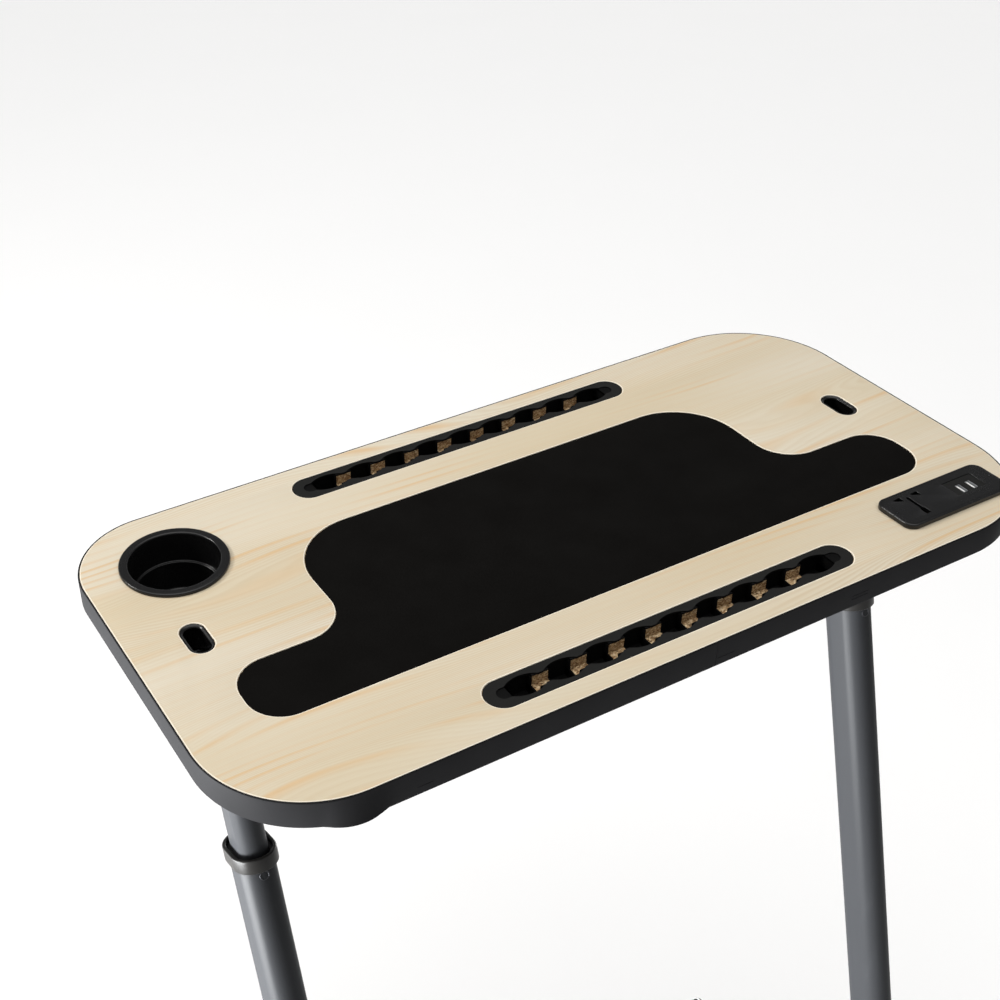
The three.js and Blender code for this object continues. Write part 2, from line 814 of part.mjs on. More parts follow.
// The mains inlet in the housing's floor, open downwards
function power_inlet() {
  const flange_top = -housing_depth - seat_gap;
  const flange_low = flange_top - inlet_flange_thickness;
  const body_top = flange_low + inlet_depth;
  const body = plate(small_rectangle(inlet_length, inlet_width, inlet_wall), flange_low, body_top);
  const flange_length = inlet_length + 2 * inlet_flange;
  const flange_width = inlet_width + 2 * inlet_flange;
  const flange = plate(small_rectangle(flange_length, flange_width, inlet_wall), flange_low, flange_top);
  const hollow_length = inlet_length - 2 * inlet_wall;
  const hollow_width = inlet_width - 2 * inlet_wall;
  const floor = body_top - inlet_wall;
  const hollow_outline = small_rectangle(hollow_length, hollow_width, inlet_wall / 2);
  const hollow = plate(hollow_outline, flange_low - overrun, floor);
  const pin = rod(inlet_pin_radius, floor - inlet_pin_length, floor + inlet_wall / 2, screw_segments);
  const pins = [-1, 0, 1].map((step) => pin.clone().translate(step * inlet_pin_spread, 0, 0));
  const geometry = join(cut(join(body, flange), hollow), ...pins);
  return place(mesh("power_inlet", geometry, "slot_plastic"), inlet_x, 0, 0);
}

function power_outlet() {
  const outlet = new THREE.Group();
  outlet.add(power_faceplate(), power_housing(), ...socket_contacts(), usb_module(), power_inlet());
  for (const [i, [side_name, side]] of sides.entries()) {
    outlet.add(usb_port(`usb_port_${side_name}`, port_places()[i]));
    outlet.add(power_screw(`power_screw_${side_name}`, side));
  }
  return place(outlet, outlet_x, outlet_y, 0);
}

// A bracket: a plate under the board with a slanted sleeve round the inner tube's end, and
// the four screws that hold it. z = 0 is the board's underside, and the sleeve's axis meets
// it at the origin.
function top_bracket(name) {
  const high = -seat_gap;
  const low = high - bracket_thickness;
  const flat = plate(small_rectangle(bracket_width, bracket_length, bracket_radius), low, high);
  const grow = 2 * (side_gap + bracket_sleeve_wall);
  const sleeve_outline = obround(inner_tube_width + grow, inner_tube_length + grow);
  const run = bracket_sleeve_run;
  const sleeve = plate(sleeve_outline, -run, run, tube_segments).rotateX(-lean);
  const bore_outline = obround(inner_tube_width + 2 * side_gap, inner_tube_length + 2 * side_gap);
  const long_bore = plate(bore_outline, -2 * run, run, tube_segments).rotateX(-lean);
  const reach = bracket_length;
  const above = block(-reach, reach, -reach, reach, high, reach);
  const bore = cut(long_bore, above.clone().translate(0, 0, -bracket_thickness));
  const passage_inset = 2 * inner_tube_wall;
  const passage_outline = obround(inner_tube_width - passage_inset, inner_tube_length - passage_inset);
  const passage = plate(passage_outline, -run, run, tube_segments).rotateX(-lean);
  const body = cut(join(flat, cut(sleeve, above)), bore, passage);
  const screws = bracket_screw_places().map(([x, y]) => bracket_screw(low).translate(x, y, 0));
  return mesh(name, join(body, ...screws), "dark_steel");
}

function bracket_screw_places() {
  const x = bracket_width / 2 - bracket_screw_inset;
  const y = bracket_length / 2 - bracket_screw_inset;
  return [[x, y], [-x, y], [-x, -y], [x, -y]];
}

function bracket_screw(seat) {
  const profile = [
    [0, seat - bracket_screw_head],
    [bracket_screw_head_radius, seat - bracket_screw_head],
    [bracket_screw_head_radius, seat],
    [bracket_screw_radius, seat],
    [bracket_screw_radius, bracket_screw_length - bracket_screw_radius],
    [0, bracket_screw_length],
  ];
  return turned(profile, screw_segments);
}

// Holes for the bracket screws in the board and its backing
function bracket_screw_holes() {
  const holes = [];
  for (const [, side] of sides) {
    for (const [x, y] of bracket_screw_places()) {
      const reach = bracket_screw_length + side_gap - top_thickness;
      const hole = rod(bracket_screw_radius + side_gap, -top_thickness - overrun, reach, screw_segments);
      holes.push(hole.translate(side * leg_spacing / 2 + x, leg_y + y, 0));
    }
  }
  return holes;
}

function drilled(piece, holes) {
  piece.geometry = cut(piece.geometry, ...holes);
  return piece;
}

// The legs, about an axis that falls along -z from the board's underside
function tube(width, length, wall, low, high) {
  const outline = obround(width, length);
  outline.holes.push(moved(obround(width - 2 * wall, length - 2 * wall), 0, 0, tube_segments));
  return plate(outline, low, high, tube_segments);
}

function inner_tube(name) {
  const low = -inner_tube_run;
  const body = tube(inner_tube_width, inner_tube_length, inner_tube_wall, low, inner_tube_length);
  const height = -2 * seat_gap - bracket_thickness;
  const reach = inner_tube_length;
  const above = block(-reach, reach, -reach, reach, height, 2 * reach);
  return mesh(name, cut(body, above.rotateX(lean)), "grey_paint");
}

function guide_plug(name) {
  const foot = -inner_tube_run - seat_gap;
  const width = outer_bore_width - 2 * side_gap;
  const length = outer_bore_length - 2 * side_gap;
  const head = plate(obround(width, length), foot - guide_height, foot, tube_segments);
  const spigot_inset = 2 * (inner_tube_wall + side_gap);
  const spigot_width = inner_tube_width - spigot_inset;
  const spigot_length = inner_tube_length - spigot_inset;
  const low = foot - guide_height;
  const high = foot + guide_spigot;
  const spigot = plate(obround(spigot_width, spigot_length), low, high, tube_segments);
  const hollow_outline = obround(spigot_width - 2 * guide_wall, spigot_length - 2 * guide_wall);
  const hollow = plate(hollow_outline, low - overrun, high + overrun, tube_segments);
  return mesh(name, cut(join(head, spigot), hollow), "nylon");
}

const collar_top = -exposed_tube_length;
const bush_top = collar_top - collar_rise;
const outer_top = bush_top - bush_flange_thickness - seat_gap;
const clamp_z = collar_top - collar_height - clamp_below_collar;
const frame_bolt_z = foot_sleeve_run / 2 - leg_run;

function frame_bolt_heights() {
  return [frame_bolt_z - frame_bolt_pitch / 2, frame_bolt_z + frame_bolt_pitch / 2];
}

function cross_drill(radius, reach, z) {
  return rod(radius, -reach, reach).rotateY(quarter_turn).translate(0, 0, z);
}

function clamp_drill(radius) {
  return rod(radius, 0, outer_tube_length).rotateX(quarter_turn).translate(0, 0, clamp_z);
}

function outer_tube(name) {
  const low = -leg_run - outer_tube_length;
  const body = tube(outer_tube_width, outer_tube_length, outer_tube_wall, low, outer_top);
  const reach = leg_run;
  const floor = foot_top + seat_gap - underside;
  const below = block(-reach, reach, -reach, reach, -2 * reach, floor).rotateX(lean);
  const bolt_hole = frame_bolt_radius + 2 * side_gap;
  const bolts = frame_bolt_heights().map((z) => cross_drill(bolt_hole, outer_tube_width, z));
  const hole = clamp_drill(clamp_screw_radius + side_gap);
  return mesh(name, cut(join(cut(body, below, ...bolts), clamp_insert()), hole), "grey_paint");
}

function tube_collar(name) {
  const grow = 2 * (side_gap + collar_thickness);
  const outer = chamfered_plate(obround(outer_tube_width + grow, outer_tube_length + grow),
    collar_top - collar_height, collar_top, collar_chamfer, tube_segments);
  const bore = plate(obround(outer_tube_width + 2 * side_gap, outer_tube_length + 2 * side_gap),
    collar_top - collar_height - overrun, collar_top + overrun, tube_segments);
  return mesh(name, cut(outer, bore), "collar_plastic");
}

function tube_bush(name) {
  const bore = plate(obround(inner_tube_width + 2 * side_gap, inner_tube_length + 2 * side_gap),
    bush_top - bush_length - 2 * overrun, bush_top + overrun, tube_segments);
  const flange_low = bush_top - bush_flange_thickness;
  const flange = plate(obround(outer_tube_width, outer_tube_length), flange_low, bush_top, tube_segments);
  const sleeve_outline = obround(outer_bore_width - 2 * side_gap, outer_bore_length - 2 * side_gap);
  const sleeve = plate(sleeve_outline, bush_top - bush_length, bush_top, tube_segments);
  const window = clamp_drill(clamp_screw_radius + insert_wall + side_gap);
  return mesh(name, cut(join(flange, sleeve), bore, window), "nylon");
}

// The threaded insert pressed into the front of the outer tube, and its clamp screw
const insert_face = outer_tube_length / 2;
const insert_back = insert_face - outer_tube_wall - insert_reach;

function clamp_insert() {
  const insert = rod(clamp_screw_radius + insert_wall, insert_back, insert_face - outer_tube_wall / 2);
  return insert.rotateX(quarter_turn).translate(0, 0, clamp_z);
}

function clamp_screw(name) {
  const back = inner_tube_length / 2 + side_gap;
  const face = insert_face - 2 * side_gap;
  const body = rod(clamp_screw_radius, back, face);
  const hexagon = rod(clamp_socket_radius, face - clamp_socket_depth, face + overrun, 6);
  return mesh(name, cut(body, hexagon).rotateX(quarter_turn).translate(0, 0, clamp_z), "dark_steel");
}

function leg(side_name, side) {
  const slanted = new THREE.Group();
  slanted.add(inner_tube(`inner_tube_${side_name}`), guide_plug(`guide_plug_${side_name}`),
    outer_tube(`outer_tube_${side_name}`), tube_collar(`tube_collar_${side_name}`),
    tube_bush(`tube_bush_${side_name}`), clamp_screw(`clamp_screw_${side_name}`));
  slanted.rotation.x = -lean;
  return place(slanted, side * leg_spacing / 2, desk_y + leg_y, underside);
}

// A foot: a flat oval tube along y with a slanted sleeve for the leg; z = 0 is the floor
const foot_length = foot_front_y - foot_rear_y - 2 * foot_cap_thickness;
const foot_centre_y = (foot_front_y + foot_rear_y) / 2;

function along_y(geometry) {
  return geometry.rotateX(quarter_turn);
}

function foot_caster_places() {
  return ends.map(([, end]) => foot_centre_y + end * (foot_front_y - foot_rear_y - 2 * caster_inset) / 2);
}

function foot(name, side) {
  const half = foot_length / 2;
  const outer = along_y(plate(obround(foot_width, foot_height), -half, half, tube_segments))
    .translate(0, foot_centre_y, foot_middle);
  const bore_outline = obround(foot_width - 2 * foot_wall, foot_height - 2 * foot_wall);
  const bore = along_y(plate(bore_outline, -half - overrun, half + overrun, tube_segments))
    .translate(0, foot_centre_y, foot_middle);
  const grow = 2 * (side_gap + foot_sleeve_wall);
  const sleeve_outline = obround(outer_tube_width + grow, outer_tube_length + grow);
  const sleeve_bore = obround(outer_tube_width + 2 * side_gap, outer_tube_length + 2 * side_gap);
  const long_sleeve = plate(sleeve_outline, -foot_height, foot_sleeve_run, tube_segments);
  const below = block(-foot_width, foot_width, -foot_width, foot_width, -2 * foot_width, -foot_height / 3);
  const sleeve = cut(long_sleeve.rotateX(-lean), below).translate(0, foot_leg_y, foot_top);
  const long_bore = plate(sleeve_bore, -foot_height, 2 * foot_sleeve_run, tube_segments).rotateX(-lean);
  const under_top = block(-foot_width, foot_width, -foot_width, foot_width, -2 * foot_width, 0);
  const leg_bore = cut(long_bore, under_top).translate(0, foot_leg_y, foot_top);
  const stem_holes = foot_caster_places().map((y) =>
    rod(stem_radius + side_gap, 0, foot_middle).translate(0, y, 0));
  const bolts = frame_bolt_heights().map((z) => {
    const drill = cross_drill(frame_bolt_radius + 2 * side_gap, foot_width, z).rotateX(-lean);
    return drill.translate(0, leg_y, underside);
  });
  const body = cut(join(outer, sleeve), bore, leg_bore, ...stem_holes, ...bolts);
  return place(mesh(name, body, "grey_paint"), side * leg_spacing / 2, 0, 0);
}

function foot_cap(name, side, end) {
  const face = foot_length / 2 + seat_gap;
  const end_face = foot_length / 2 + foot_cap_thickness;
  const head = plate(obround(foot_width, foot_height), face, end_face, tube_segments);
  const inset = 2 * (foot_wall + side_gap);
  const spigot = plate(obround(foot_width - inset, foot_height - inset), face - foot_cap_spigot,
    face + foot_cap_thickness / 2, tube_segments);
  const cap = along_y(join(head, spigot)).rotateZ(end < 0 ? 0 : half_turn);
  return place(mesh(name, cap, "black_plastic"), side * leg_spacing / 2, foot_centre_y, foot_middle);
}

// The tube between the legs' lower ends, with the bolts that hold its end plates to the
// sleeves of the feet
function cross_tube() {
  const sleeve_face = outer_tube_width / 2 + side_gap + foot_sleeve_wall;
  const reach = leg_spacing / 2 - sleeve_face - seat_gap;
  const ring = circle(cross_tube_radius);
  ring.holes.push(moved(circle(cross_tube_radius - cross_tube_wall), 0, 0));
  const pipe = plate(ring, cross_plate_thickness / 2 - reach, reach - cross_plate_thickness / 2);
  const pieces = [pipe];
  for (const [, side] of sides) {
    const outline = small_rectangle(cross_plate_width, cross_plate_length, cross_plate_radius);
    outline.holes.push(moved(circle(cross_tube_radius - 2 * cross_tube_wall), 0, 0));
    const low = side < 0 ? -reach : reach - cross_plate_thickness;
    pieces.push(plate(outline, low, low + cross_plate_thickness));
  }
  const whole = join(...pieces).rotateX(-quarter_turn).rotateZ(quarter_turn).rotateX(-lean);
  return mesh("cross_tube", join(whole, ...frame_bolts()), "grey_paint");
}

function frame_bolts() {
  const sleeve_face = outer_tube_width / 2 + side_gap + foot_sleeve_wall;
  const head_seat = sleeve_face + seat_gap;
  const nut_seat = -sleeve_face - seat_gap - cross_plate_thickness;
  const profile = [
    [0, nut_seat - frame_nut],
    [frame_bolt_head_radius, nut_seat - frame_nut],
    [frame_bolt_head_radius, nut_seat],
    [frame_bolt_radius, nut_seat],
    [frame_bolt_radius, head_seat],
    [frame_bolt_head_radius, head_seat],
    [frame_bolt_head_radius / 2, head_seat + frame_bolt_head],
    [0, head_seat + frame_bolt_head],
  ];
  const bolts = [];
  for (const [, side] of sides) {
    for (const z of [-frame_bolt_pitch / 2, frame_bolt_pitch / 2]) {
      const bolt = turned(profile, screw_segments).rotateY(side * quarter_turn).translate(0, 0, z);
      bolts.push(bolt.rotateX(-lean).translate(side * leg_spacing / 2, 0, 0));
    }
  }
  return bolts;
}

// The casters, about the swivel axis, with z = 0 at the floor and the wheel trailing to +y
const stem_face = caster_height - seat_gap;
const crown_top = stem_face - stem_flange - run_gap;
const crown_low = crown_top - crown_thickness;
const fork_inner = wheel_width / 2 + fork_gap;

function caster_stem(name) {
  const rivet_top = crown_low - run_gap;
  const profile = [
    [0, rivet_top - rivet_head],
    [rivet_head_radius, rivet_top - rivet_head],
    [rivet_head_radius, rivet_top],
    [rivet_radius, rivet_top],
    [rivet_radius, crown_top + run_gap],
    [stem_flange_radius, crown_top + run_gap],
    [stem_flange_radius, stem_face],
    [stem_radius, stem_face],
    [stem_radius, stem_face + stem_rise],
    [0, stem_face + stem_rise],
  ];
  return mesh(name, turned(profile, small_segments), "bright_steel");
}

function caster_places() {
  return sides.flatMap(([side_name, side]) => foot_caster_places().map((y, i) => {
    const [end_name, end] = ends[i];
    return [`${side_name}_${end_name}`, side * leg_spacing / 2, y, end < 0];
  }));
}

// A fork's cheek: from the crown down to the axle's eye, with a lug for the pedal's pin
function cheek_outline() {
  const shape = new THREE.Shape();
  shape.moveTo(-crown_radius / 2, crown_top);
  shape.lineTo(-crown_radius / 2, crown_low);
  shape.absarc(caster_trail, wheel_radius, fork_eye_radius, half_turn, full_turn, false);
  shape.absarc(pedal_pivot_y, pedal_pivot_z, pedal_eye_radius, 0, quarter_turn, false);
  shape.lineTo(crown_radius, crown_top);
  shape.closePath();
  const pin_hole = circle(pedal_pin_radius + side_gap);
  shape.holes.push(moved(pin_hole, pedal_pivot_y, pedal_pivot_z, small_segments / 2));
  return shape;
}

function upright(geometry) {
  return geometry.rotateX(quarter_turn).rotateZ(quarter_turn);
}

function caster_fork(name) {
  const cheeks = sides.map(([, side]) => {
    const start = side < 0 ? -fork_inner - fork_plate : fork_inner;
    return upright(plate(cheek_outline(), start, start + fork_plate, small_outline_segments));
  });
  const crown = rod(crown_radius, crown_low, crown_top, wheel_segments);
  const hole = rod(rivet_radius + side_gap, crown_low - overrun, crown_top + overrun);
  return mesh(name, join(cut(join(crown, ...cheeks), hole), caster_axle()), "bright_steel");
}

// The axle riveted into the fork
function caster_axle() {
  const reach = fork_inner + fork_plate;
  const profile = [
    [0, -reach - axle_head],
    [axle_head_radius, -reach - axle_head],
    [axle_head_radius, -reach],
    [axle_radius, -reach],
    [axle_radius, reach],
    [axle_head_radius, reach],
    [axle_head_radius, reach + axle_head],
    [0, reach + axle_head],
  ];
  return turned(profile, screw_segments).rotateY(quarter_turn).translate(0, caster_trail, wheel_radius);
}

function caster_wheel(name) {
  const half = wheel_width / 2;
  const rim = wheel_radius - tread_thickness;
  const bore = axle_radius + side_gap;
  const hub_half = fork_inner - side_gap;
  const profile = [
    [bore, -hub_half],
    [hub_radius, -hub_half],
    [hub_radius, -web_width / 2],
    [rim, -web_width / 2],
    [rim, -half],
    [wheel_radius - tread_round, -half],
    [wheel_radius, -half + tread_round],
    [wheel_radius, half - tread_round],
    [wheel_radius - tread_round, half],
    [rim, half],
    [rim, web_width / 2],
    [hub_radius, web_width / 2],
    [hub_radius, hub_half],
    [bore, hub_half],
    [bore, -hub_half],
  ];
  const wheel = turned(profile, wheel_segments).rotateY(quarter_turn);
  return mesh(name, wheel.translate(0, caster_trail, wheel_radius), "caster_plastic");
}

// A brake pedal on a pin between the cheeks: a shoe over the wheel and a tip turned up
function brake_pedal(name) {
  const half_width = fork_inner - side_gap;
  const tip_y = pedal_pivot_y + pedal_reach;
  const shape = new THREE.Shape();
  const low = pedal_pivot_z;
  const high = low + pedal_thickness;
  shape.moveTo(pedal_pivot_y, low - pedal_pin_radius);
  shape.lineTo(pedal_pivot_y + pedal_shoe, low - pedal_shoe);
  shape.lineTo(pedal_pivot_y + pedal_shoe + pedal_pin_radius, low);
  shape.lineTo(tip_y - pedal_tip_rise, low);
  shape.lineTo(tip_y, low + pedal_tip_rise);
  shape.lineTo(tip_y - pedal_thickness / 2, high + pedal_tip_rise);
  shape.lineTo(tip_y - pedal_tip_rise - pedal_thickness / 2, high);
  shape.lineTo(pedal_pivot_y, high - pedal_thickness / 2);
  shape.closePath();
  const lever = upright(plate(shape, -half_width, half_width));
  const eye = rod(pedal_eye_radius - side_gap, -half_width, half_width).rotateY(quarter_turn)
    .translate(0, pedal_pivot_y, pedal_pivot_z);
  const reach = fork_inner + fork_plate;
  const pin = rod(pedal_pin_radius, -reach, reach, screw_segments).rotateY(quarter_turn)
    .translate(0, pedal_pivot_y, pedal_pivot_z);
  return mesh(name, join(lever, eye, pin), "black_plastic");
}

function caster(place_name, x, y, braked) {
  const group = new THREE.Group();
  group.add(caster_stem(`caster_stem_${place_name}`), caster_fork(`caster_fork_${place_name}`),
    caster_wheel(`caster_wheel_${place_name}`));
  if (braked) {
    group.add(brake_pedal(`brake_pedal_${place_name}`));
  }
  return place(group, x, y, 0);
}

// Everything that rides on the legs' inner tubes
function desktop() {
  const group = new THREE.Group();
  const holes = bracket_screw_holes();
  group.add(drilled(board_core(), holes), top_laminate(), drilled(bottom_laminate(), holes));
  group.add(edge_band(), desk_mat());
  group.add(slot_insert("slot_insert_near", -slot_y), slot_insert("slot_insert_far", slot_y), cup_holder());
  group.add(power_outlet());
  for (const [side_name, side] of sides) {
    group.add(cable_grommet(`cable_grommet_${side_name}`, side));
    group.add(place(top_bracket(`top_bracket_${side_name}`), side * leg_spacing / 2, leg_y, -top_thickness));
  }
  return place(group, 0, desk_y, desk_height);
}

function base() {
  const group = new THREE.Group();
  for (const [side_name, side] of sides) {
    group.add(foot(`foot_${side_name}`, side));
    for (const [end_name, end] of ends) {
      group.add(foot_cap(`foot_cap_${side_name}_${end_name}`, side, end));
    }
  }
  const joint_y = foot_leg_y + foot_sleeve_run / 2 * Math.sin(lean);
  const joint_z = foot_top + foot_sleeve_run / 2 * Math.cos(lean);
  group.add(place(cross_tube(), 0, joint_y, joint_z));
  for (const [place_name, x, y, braked] of caster_places()) {
    group.add(caster(place_name, x, y, braked));
  }
  return place(group, 0, desk_y, 0);
}

const desk = new THREE.Group();
desk.add(desktop(), base());
for (const [side_name, side] of sides) {
  desk.add(leg(side_name, side));
}

export default desk;
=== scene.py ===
# %% [markdown]
# # A rolling exercise desk in Blender
# A tall desk that rolls up to its user: a light laminated top with a black mat, two
# scalloped slots, a cup holder and a power outlet, on two slanted telescopic legs with casters.
# Its engineering model is loaded first as a fixed frame. Every piece below is drawn round that
# frame at its real size, and moves with one of the frame's bodies.

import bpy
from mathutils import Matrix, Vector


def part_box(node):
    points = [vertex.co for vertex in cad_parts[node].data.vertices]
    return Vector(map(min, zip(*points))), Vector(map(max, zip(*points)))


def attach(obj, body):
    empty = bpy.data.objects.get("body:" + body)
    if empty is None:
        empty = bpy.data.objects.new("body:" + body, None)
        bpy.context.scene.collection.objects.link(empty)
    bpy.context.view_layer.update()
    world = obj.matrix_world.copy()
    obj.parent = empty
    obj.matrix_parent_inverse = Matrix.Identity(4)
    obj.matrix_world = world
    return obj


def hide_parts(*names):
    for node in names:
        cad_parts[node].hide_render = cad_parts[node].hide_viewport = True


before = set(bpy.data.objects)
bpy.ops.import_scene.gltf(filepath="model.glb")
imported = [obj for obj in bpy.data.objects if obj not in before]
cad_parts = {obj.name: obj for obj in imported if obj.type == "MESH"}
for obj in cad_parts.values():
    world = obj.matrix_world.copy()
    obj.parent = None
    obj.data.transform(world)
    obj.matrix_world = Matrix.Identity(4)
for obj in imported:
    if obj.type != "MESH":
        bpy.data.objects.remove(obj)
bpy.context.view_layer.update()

# %% [markdown]
# ## Millimetres, and the desk's own axes
# A desk is easiest to draw in millimetres from the middle of its top, while Blender works in
# metres from the floor. One matrix does the step from the first to the second, so that no piece
# has to be moved after it is made. The frame tells where the top's middle is. Near and far are
# meant as from where its user stands, and near is -y.

# %% Places
import math

import bmesh
import bpy
from mathutils import Matrix, Vector
from mathutils.geometry import tessellate_polygon

mm = 0.001
band_low, band_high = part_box("edge_band")
top_middle = Vector(((band_low.x + band_high.x) / 2, (band_low.y + band_high.y) / 2, band_high.z))
to_metres, from_metres = Matrix.Scale(mm, 4), Matrix.Scale(1 / mm, 4)
on_top = Matrix.Translation(top_middle) @ to_metres
on_floor = Matrix.Translation((top_middle.x, top_middle.y, 0)) @ to_metres
z_to_near = Matrix.Rotation(math.pi / 2, 4, "X")
z_to_right = Matrix.Rotation(math.pi / 2, 4, "Y")
top_length, top_width, top_thickness = 800, 400, 25
sides = (("left", -1), ("right", 1))
print("the top's middle:", [round(value, 4) for value in top_middle])

# %% [markdown]
# ## The camera
# The picture is taken from in front of the cup holder's corner, a little under two metres above
# the floor. The camera was worked out from the top's four edges, whose real directions are known.
# Its three axes go straight into a matrix, which is easier to check than three turning angles.

# %% The camera
camera = bpy.data.objects.new("camera", bpy.data.cameras.new("camera"))
bpy.context.scene.collection.objects.link(camera)
camera_right = Vector((0.8722, -0.4884, -0.0272))
camera_back = Vector((-0.3834, -0.7166, 0.5826)).normalized()
camera_up = camera_back.cross(camera_right).normalized()
camera_right = camera_up.cross(camera_back)
camera_place = Matrix.Translation((-0.6453, -0.7925, 1.8968))
axes = Matrix((camera_right, camera_up, camera_back)).transposed()
camera.matrix_world = camera_place @ axes.to_4x4()
camera.data.lens = 54.08
camera.data.shift_x = 0.117
camera.data.shift_y = 0.020
camera.data.clip_start = 0.05
bpy.context.scene.camera = camera
print("camera at", [round(value, 3) for value in camera.location])

# %% [markdown]
# ## Floor and light
# A product picture has a pale floor that runs out of sight and soft light. Here an even ceiling,
# which is part of the world below, lights the top and the floor alike. A long box stands lower
# than the top at the left, so the legs and the left edge are modelled while the top stays evenly
# lit, and a weaker one stands behind at the right. Both spare the floor, because a floor lit from
# so near would throw its light back on every shaded side. A small high box draws the bright lines
# on the rounds of the cup and the outlet.

# %% Floor
def ring_of_points(radius, count):
    turn = 2 * math.pi / count
    return [(radius * math.cos(i * turn), radius * math.sin(i * turn)) for i in range(count)]


floor_radius, floor_corners = 60, 48
floor_rim = [(x, y, 0) for x, y in ring_of_points(floor_radius, floor_corners)]
floor_mesh = bpy.data.meshes.new("floor")
floor_mesh.from_pydata(floor_rim, [], [range(floor_corners)])
floor = bpy.data.objects.new("floor", floor_mesh)
bpy.context.scene.collection.objects.link(floor)

# %% Lights
def soft_box(name, place, target, width, height, watts, tint):
    """A rectangular lamp that faces the target."""
    data = bpy.data.lights.new(name, "AREA")
    data.shape = "RECTANGLE"
    data.size = width
    data.size_y = height
    data.energy = watts
    data.color = tint
    lamp = bpy.data.objects.new(name, data)
    bpy.context.scene.collection.objects.link(lamp)
    lamp.location = place
    lamp.rotation_euler = (Vector(target) - Vector(place)).to_track_quat("-Z", "Y").to_euler()
    return lamp


left_box = soft_box("left_box", place=(-2.3, 0.30, 0.36), target=(0, 0.05, 0.75),
                    width=2.2, height=0.60, watts=430, tint=(0.97, 0.985, 1.0))
right_box = soft_box("right_box", place=(1.9, 1.6, 0.40), target=(0, 0.05, 0.7),
                     width=2.0, height=0.60, watts=110, tint=(1.0, 1.0, 1.0))
soft_box("high_box", place=(-2.3, 1.7, 3.0), target=(0, 0.05, 1.1),
         width=0.7, height=0.7, watts=56, tint=(1.0, 0.985, 0.96))
spared = bpy.data.collections.new("not_lit_by_low_boxes")
spared.objects.link(floor)
spared.collection_objects[0].light_linking.link_state = "EXCLUDE"
for box in (left_box, right_box):
    box.light_linking.receiver_collection = spared

# %% [markdown]
# ## Writing shaders as sums
# A finish is a small recipe of numbers that vary over a surface. Written as nodes it is long, and
# written as arithmetic it is short. The class Signal wraps the output of a node, so that an
# expression such as 1 - mask adds the Math node that does it. Nodes makes every other node.

# %% Signals and nodes
def arithmetic(operation, number_first=False):
    """A method of Signal that adds one Math node; number_first is for 1 - mask and the like."""
    def method(self, other):
        return self.math(operation, other, self) if number_first else self.math(operation, self, other)
    return method


class Signal:
    """A number given by a node. Arithmetic on it adds Math nodes to the same tree."""

    __add__, __radd__ = arithmetic("ADD"), arithmetic("ADD", True)
    __sub__, __rsub__ = arithmetic("SUBTRACT"), arithmetic("SUBTRACT", True)
    __mul__, __rmul__ = arithmetic("MULTIPLY"), arithmetic("MULTIPLY", True)
    __truediv__ = arithmetic("DIVIDE")

    def __init__(self, nodes, socket):
        self.nodes = nodes
        self.socket = socket

    def math(self, operation, *values):
        return self.nodes.node("ShaderNodeMath", {"operation": operation}, dict(enumerate(values)))

    def step(self, low, high):
        """0 below low, 1 above high and a smooth slope between them."""
        sockets = {0: self, "From Min": low, "From Max": high}
        return self.nodes.node("ShaderNodeMapRange", {"interpolation_type": "SMOOTHSTEP"}, sockets)


class Nodes:
    """Makes the nodes of one tree: settings first, then the sockets' values or links."""

    def __init__(self, tree):
        self.tree = tree

    def node(self, kind, settings=None, sockets=None, output=0):
        made = self.tree.nodes.new(kind)
        for name, value in (settings or {}).items():
            if name == "stops":
                self.set_stops(made.color_ramp, value)
            else:
                setattr(made, name, value)
        for name, value in (sockets or {}).items():
            self.feed(made.inputs[name], value)
        return Signal(self, made.outputs[output])

    def set_stops(self, ramp, stops):
        while len(ramp.elements) < len(stops):
            ramp.elements.new(1.0)
        for element, (place, colour) in zip(ramp.elements, stops):
            element.position = place
            element.color = colour

    def feed(self, socket, value):
        if isinstance(value, Signal):
            self.tree.links.new(value.socket, socket)
        else:
            socket.default_value = value

    def mix(self, factor, first, second):
        """From the first colour to the second as the factor goes from 0 to 1."""
        sockets = {0: factor, 6: first, 7: second}
        return self.node("ShaderNodeMix", {"data_type": "RGBA"}, sockets, output=2)

    def stretched(self, scale, shift=(0, 0, 0)):
        """Object coordinates scaled by one number, or by a number for each axis."""
        here = self.node("ShaderNodeTexCoord", output=3)
        scale = scale if isinstance(scale, tuple) else (scale, scale, scale)
        sockets = {"Vector": here, "Location": shift, "Scale": scale}
        return self.node("ShaderNodeMapping", None, sockets)

    def noise(self, scale, shift=(0, 0, 0), detail=2.0, roughness=0.5):
        """Noise over the stretched coordinates: a larger scale makes it finer."""
        sockets = {"Vector": self.stretched(scale, shift), "Scale": 1.0, "Detail": detail,
                   "Roughness": roughness}
        return self.node("ShaderNodeTexNoise", None, sockets)

    def bump(self, height, depth):
        """A surface normal from a height, with the height's full swing given in metres."""
        sockets = {"Height": height, "Distance": depth, "Strength": 1.0}
        return self.node("ShaderNodeBump", None, sockets)


def screen_colour(red, green, blue):
    """A colour picked on the screen, from 0 to 255, as the linear light Blender uses."""
    def linear(value):
        value = value / 255
        return value / 12.92 if value <= 0.04045 else ((value + 0.055) / 1.055) ** 2.4
    return (linear(red), linear(green), linear(blue), 1.0)


def new_finish(name, **constants):
    """A material with its own Principled shader; the constants are set on the sockets."""
    material = bpy.data.materials.new(name)
    material.use_nodes = True
    shader = material.node_tree.nodes["Principled BSDF"]
    for socket, value in constants.items():
        shader.inputs[socket.replace("_", " ")].default_value = value
    return material, Nodes(material.node_tree), shader


print("pine on a screen is", [round(v, 3) for v in screen_colour(233, 218, 188)[:3]], "in light")

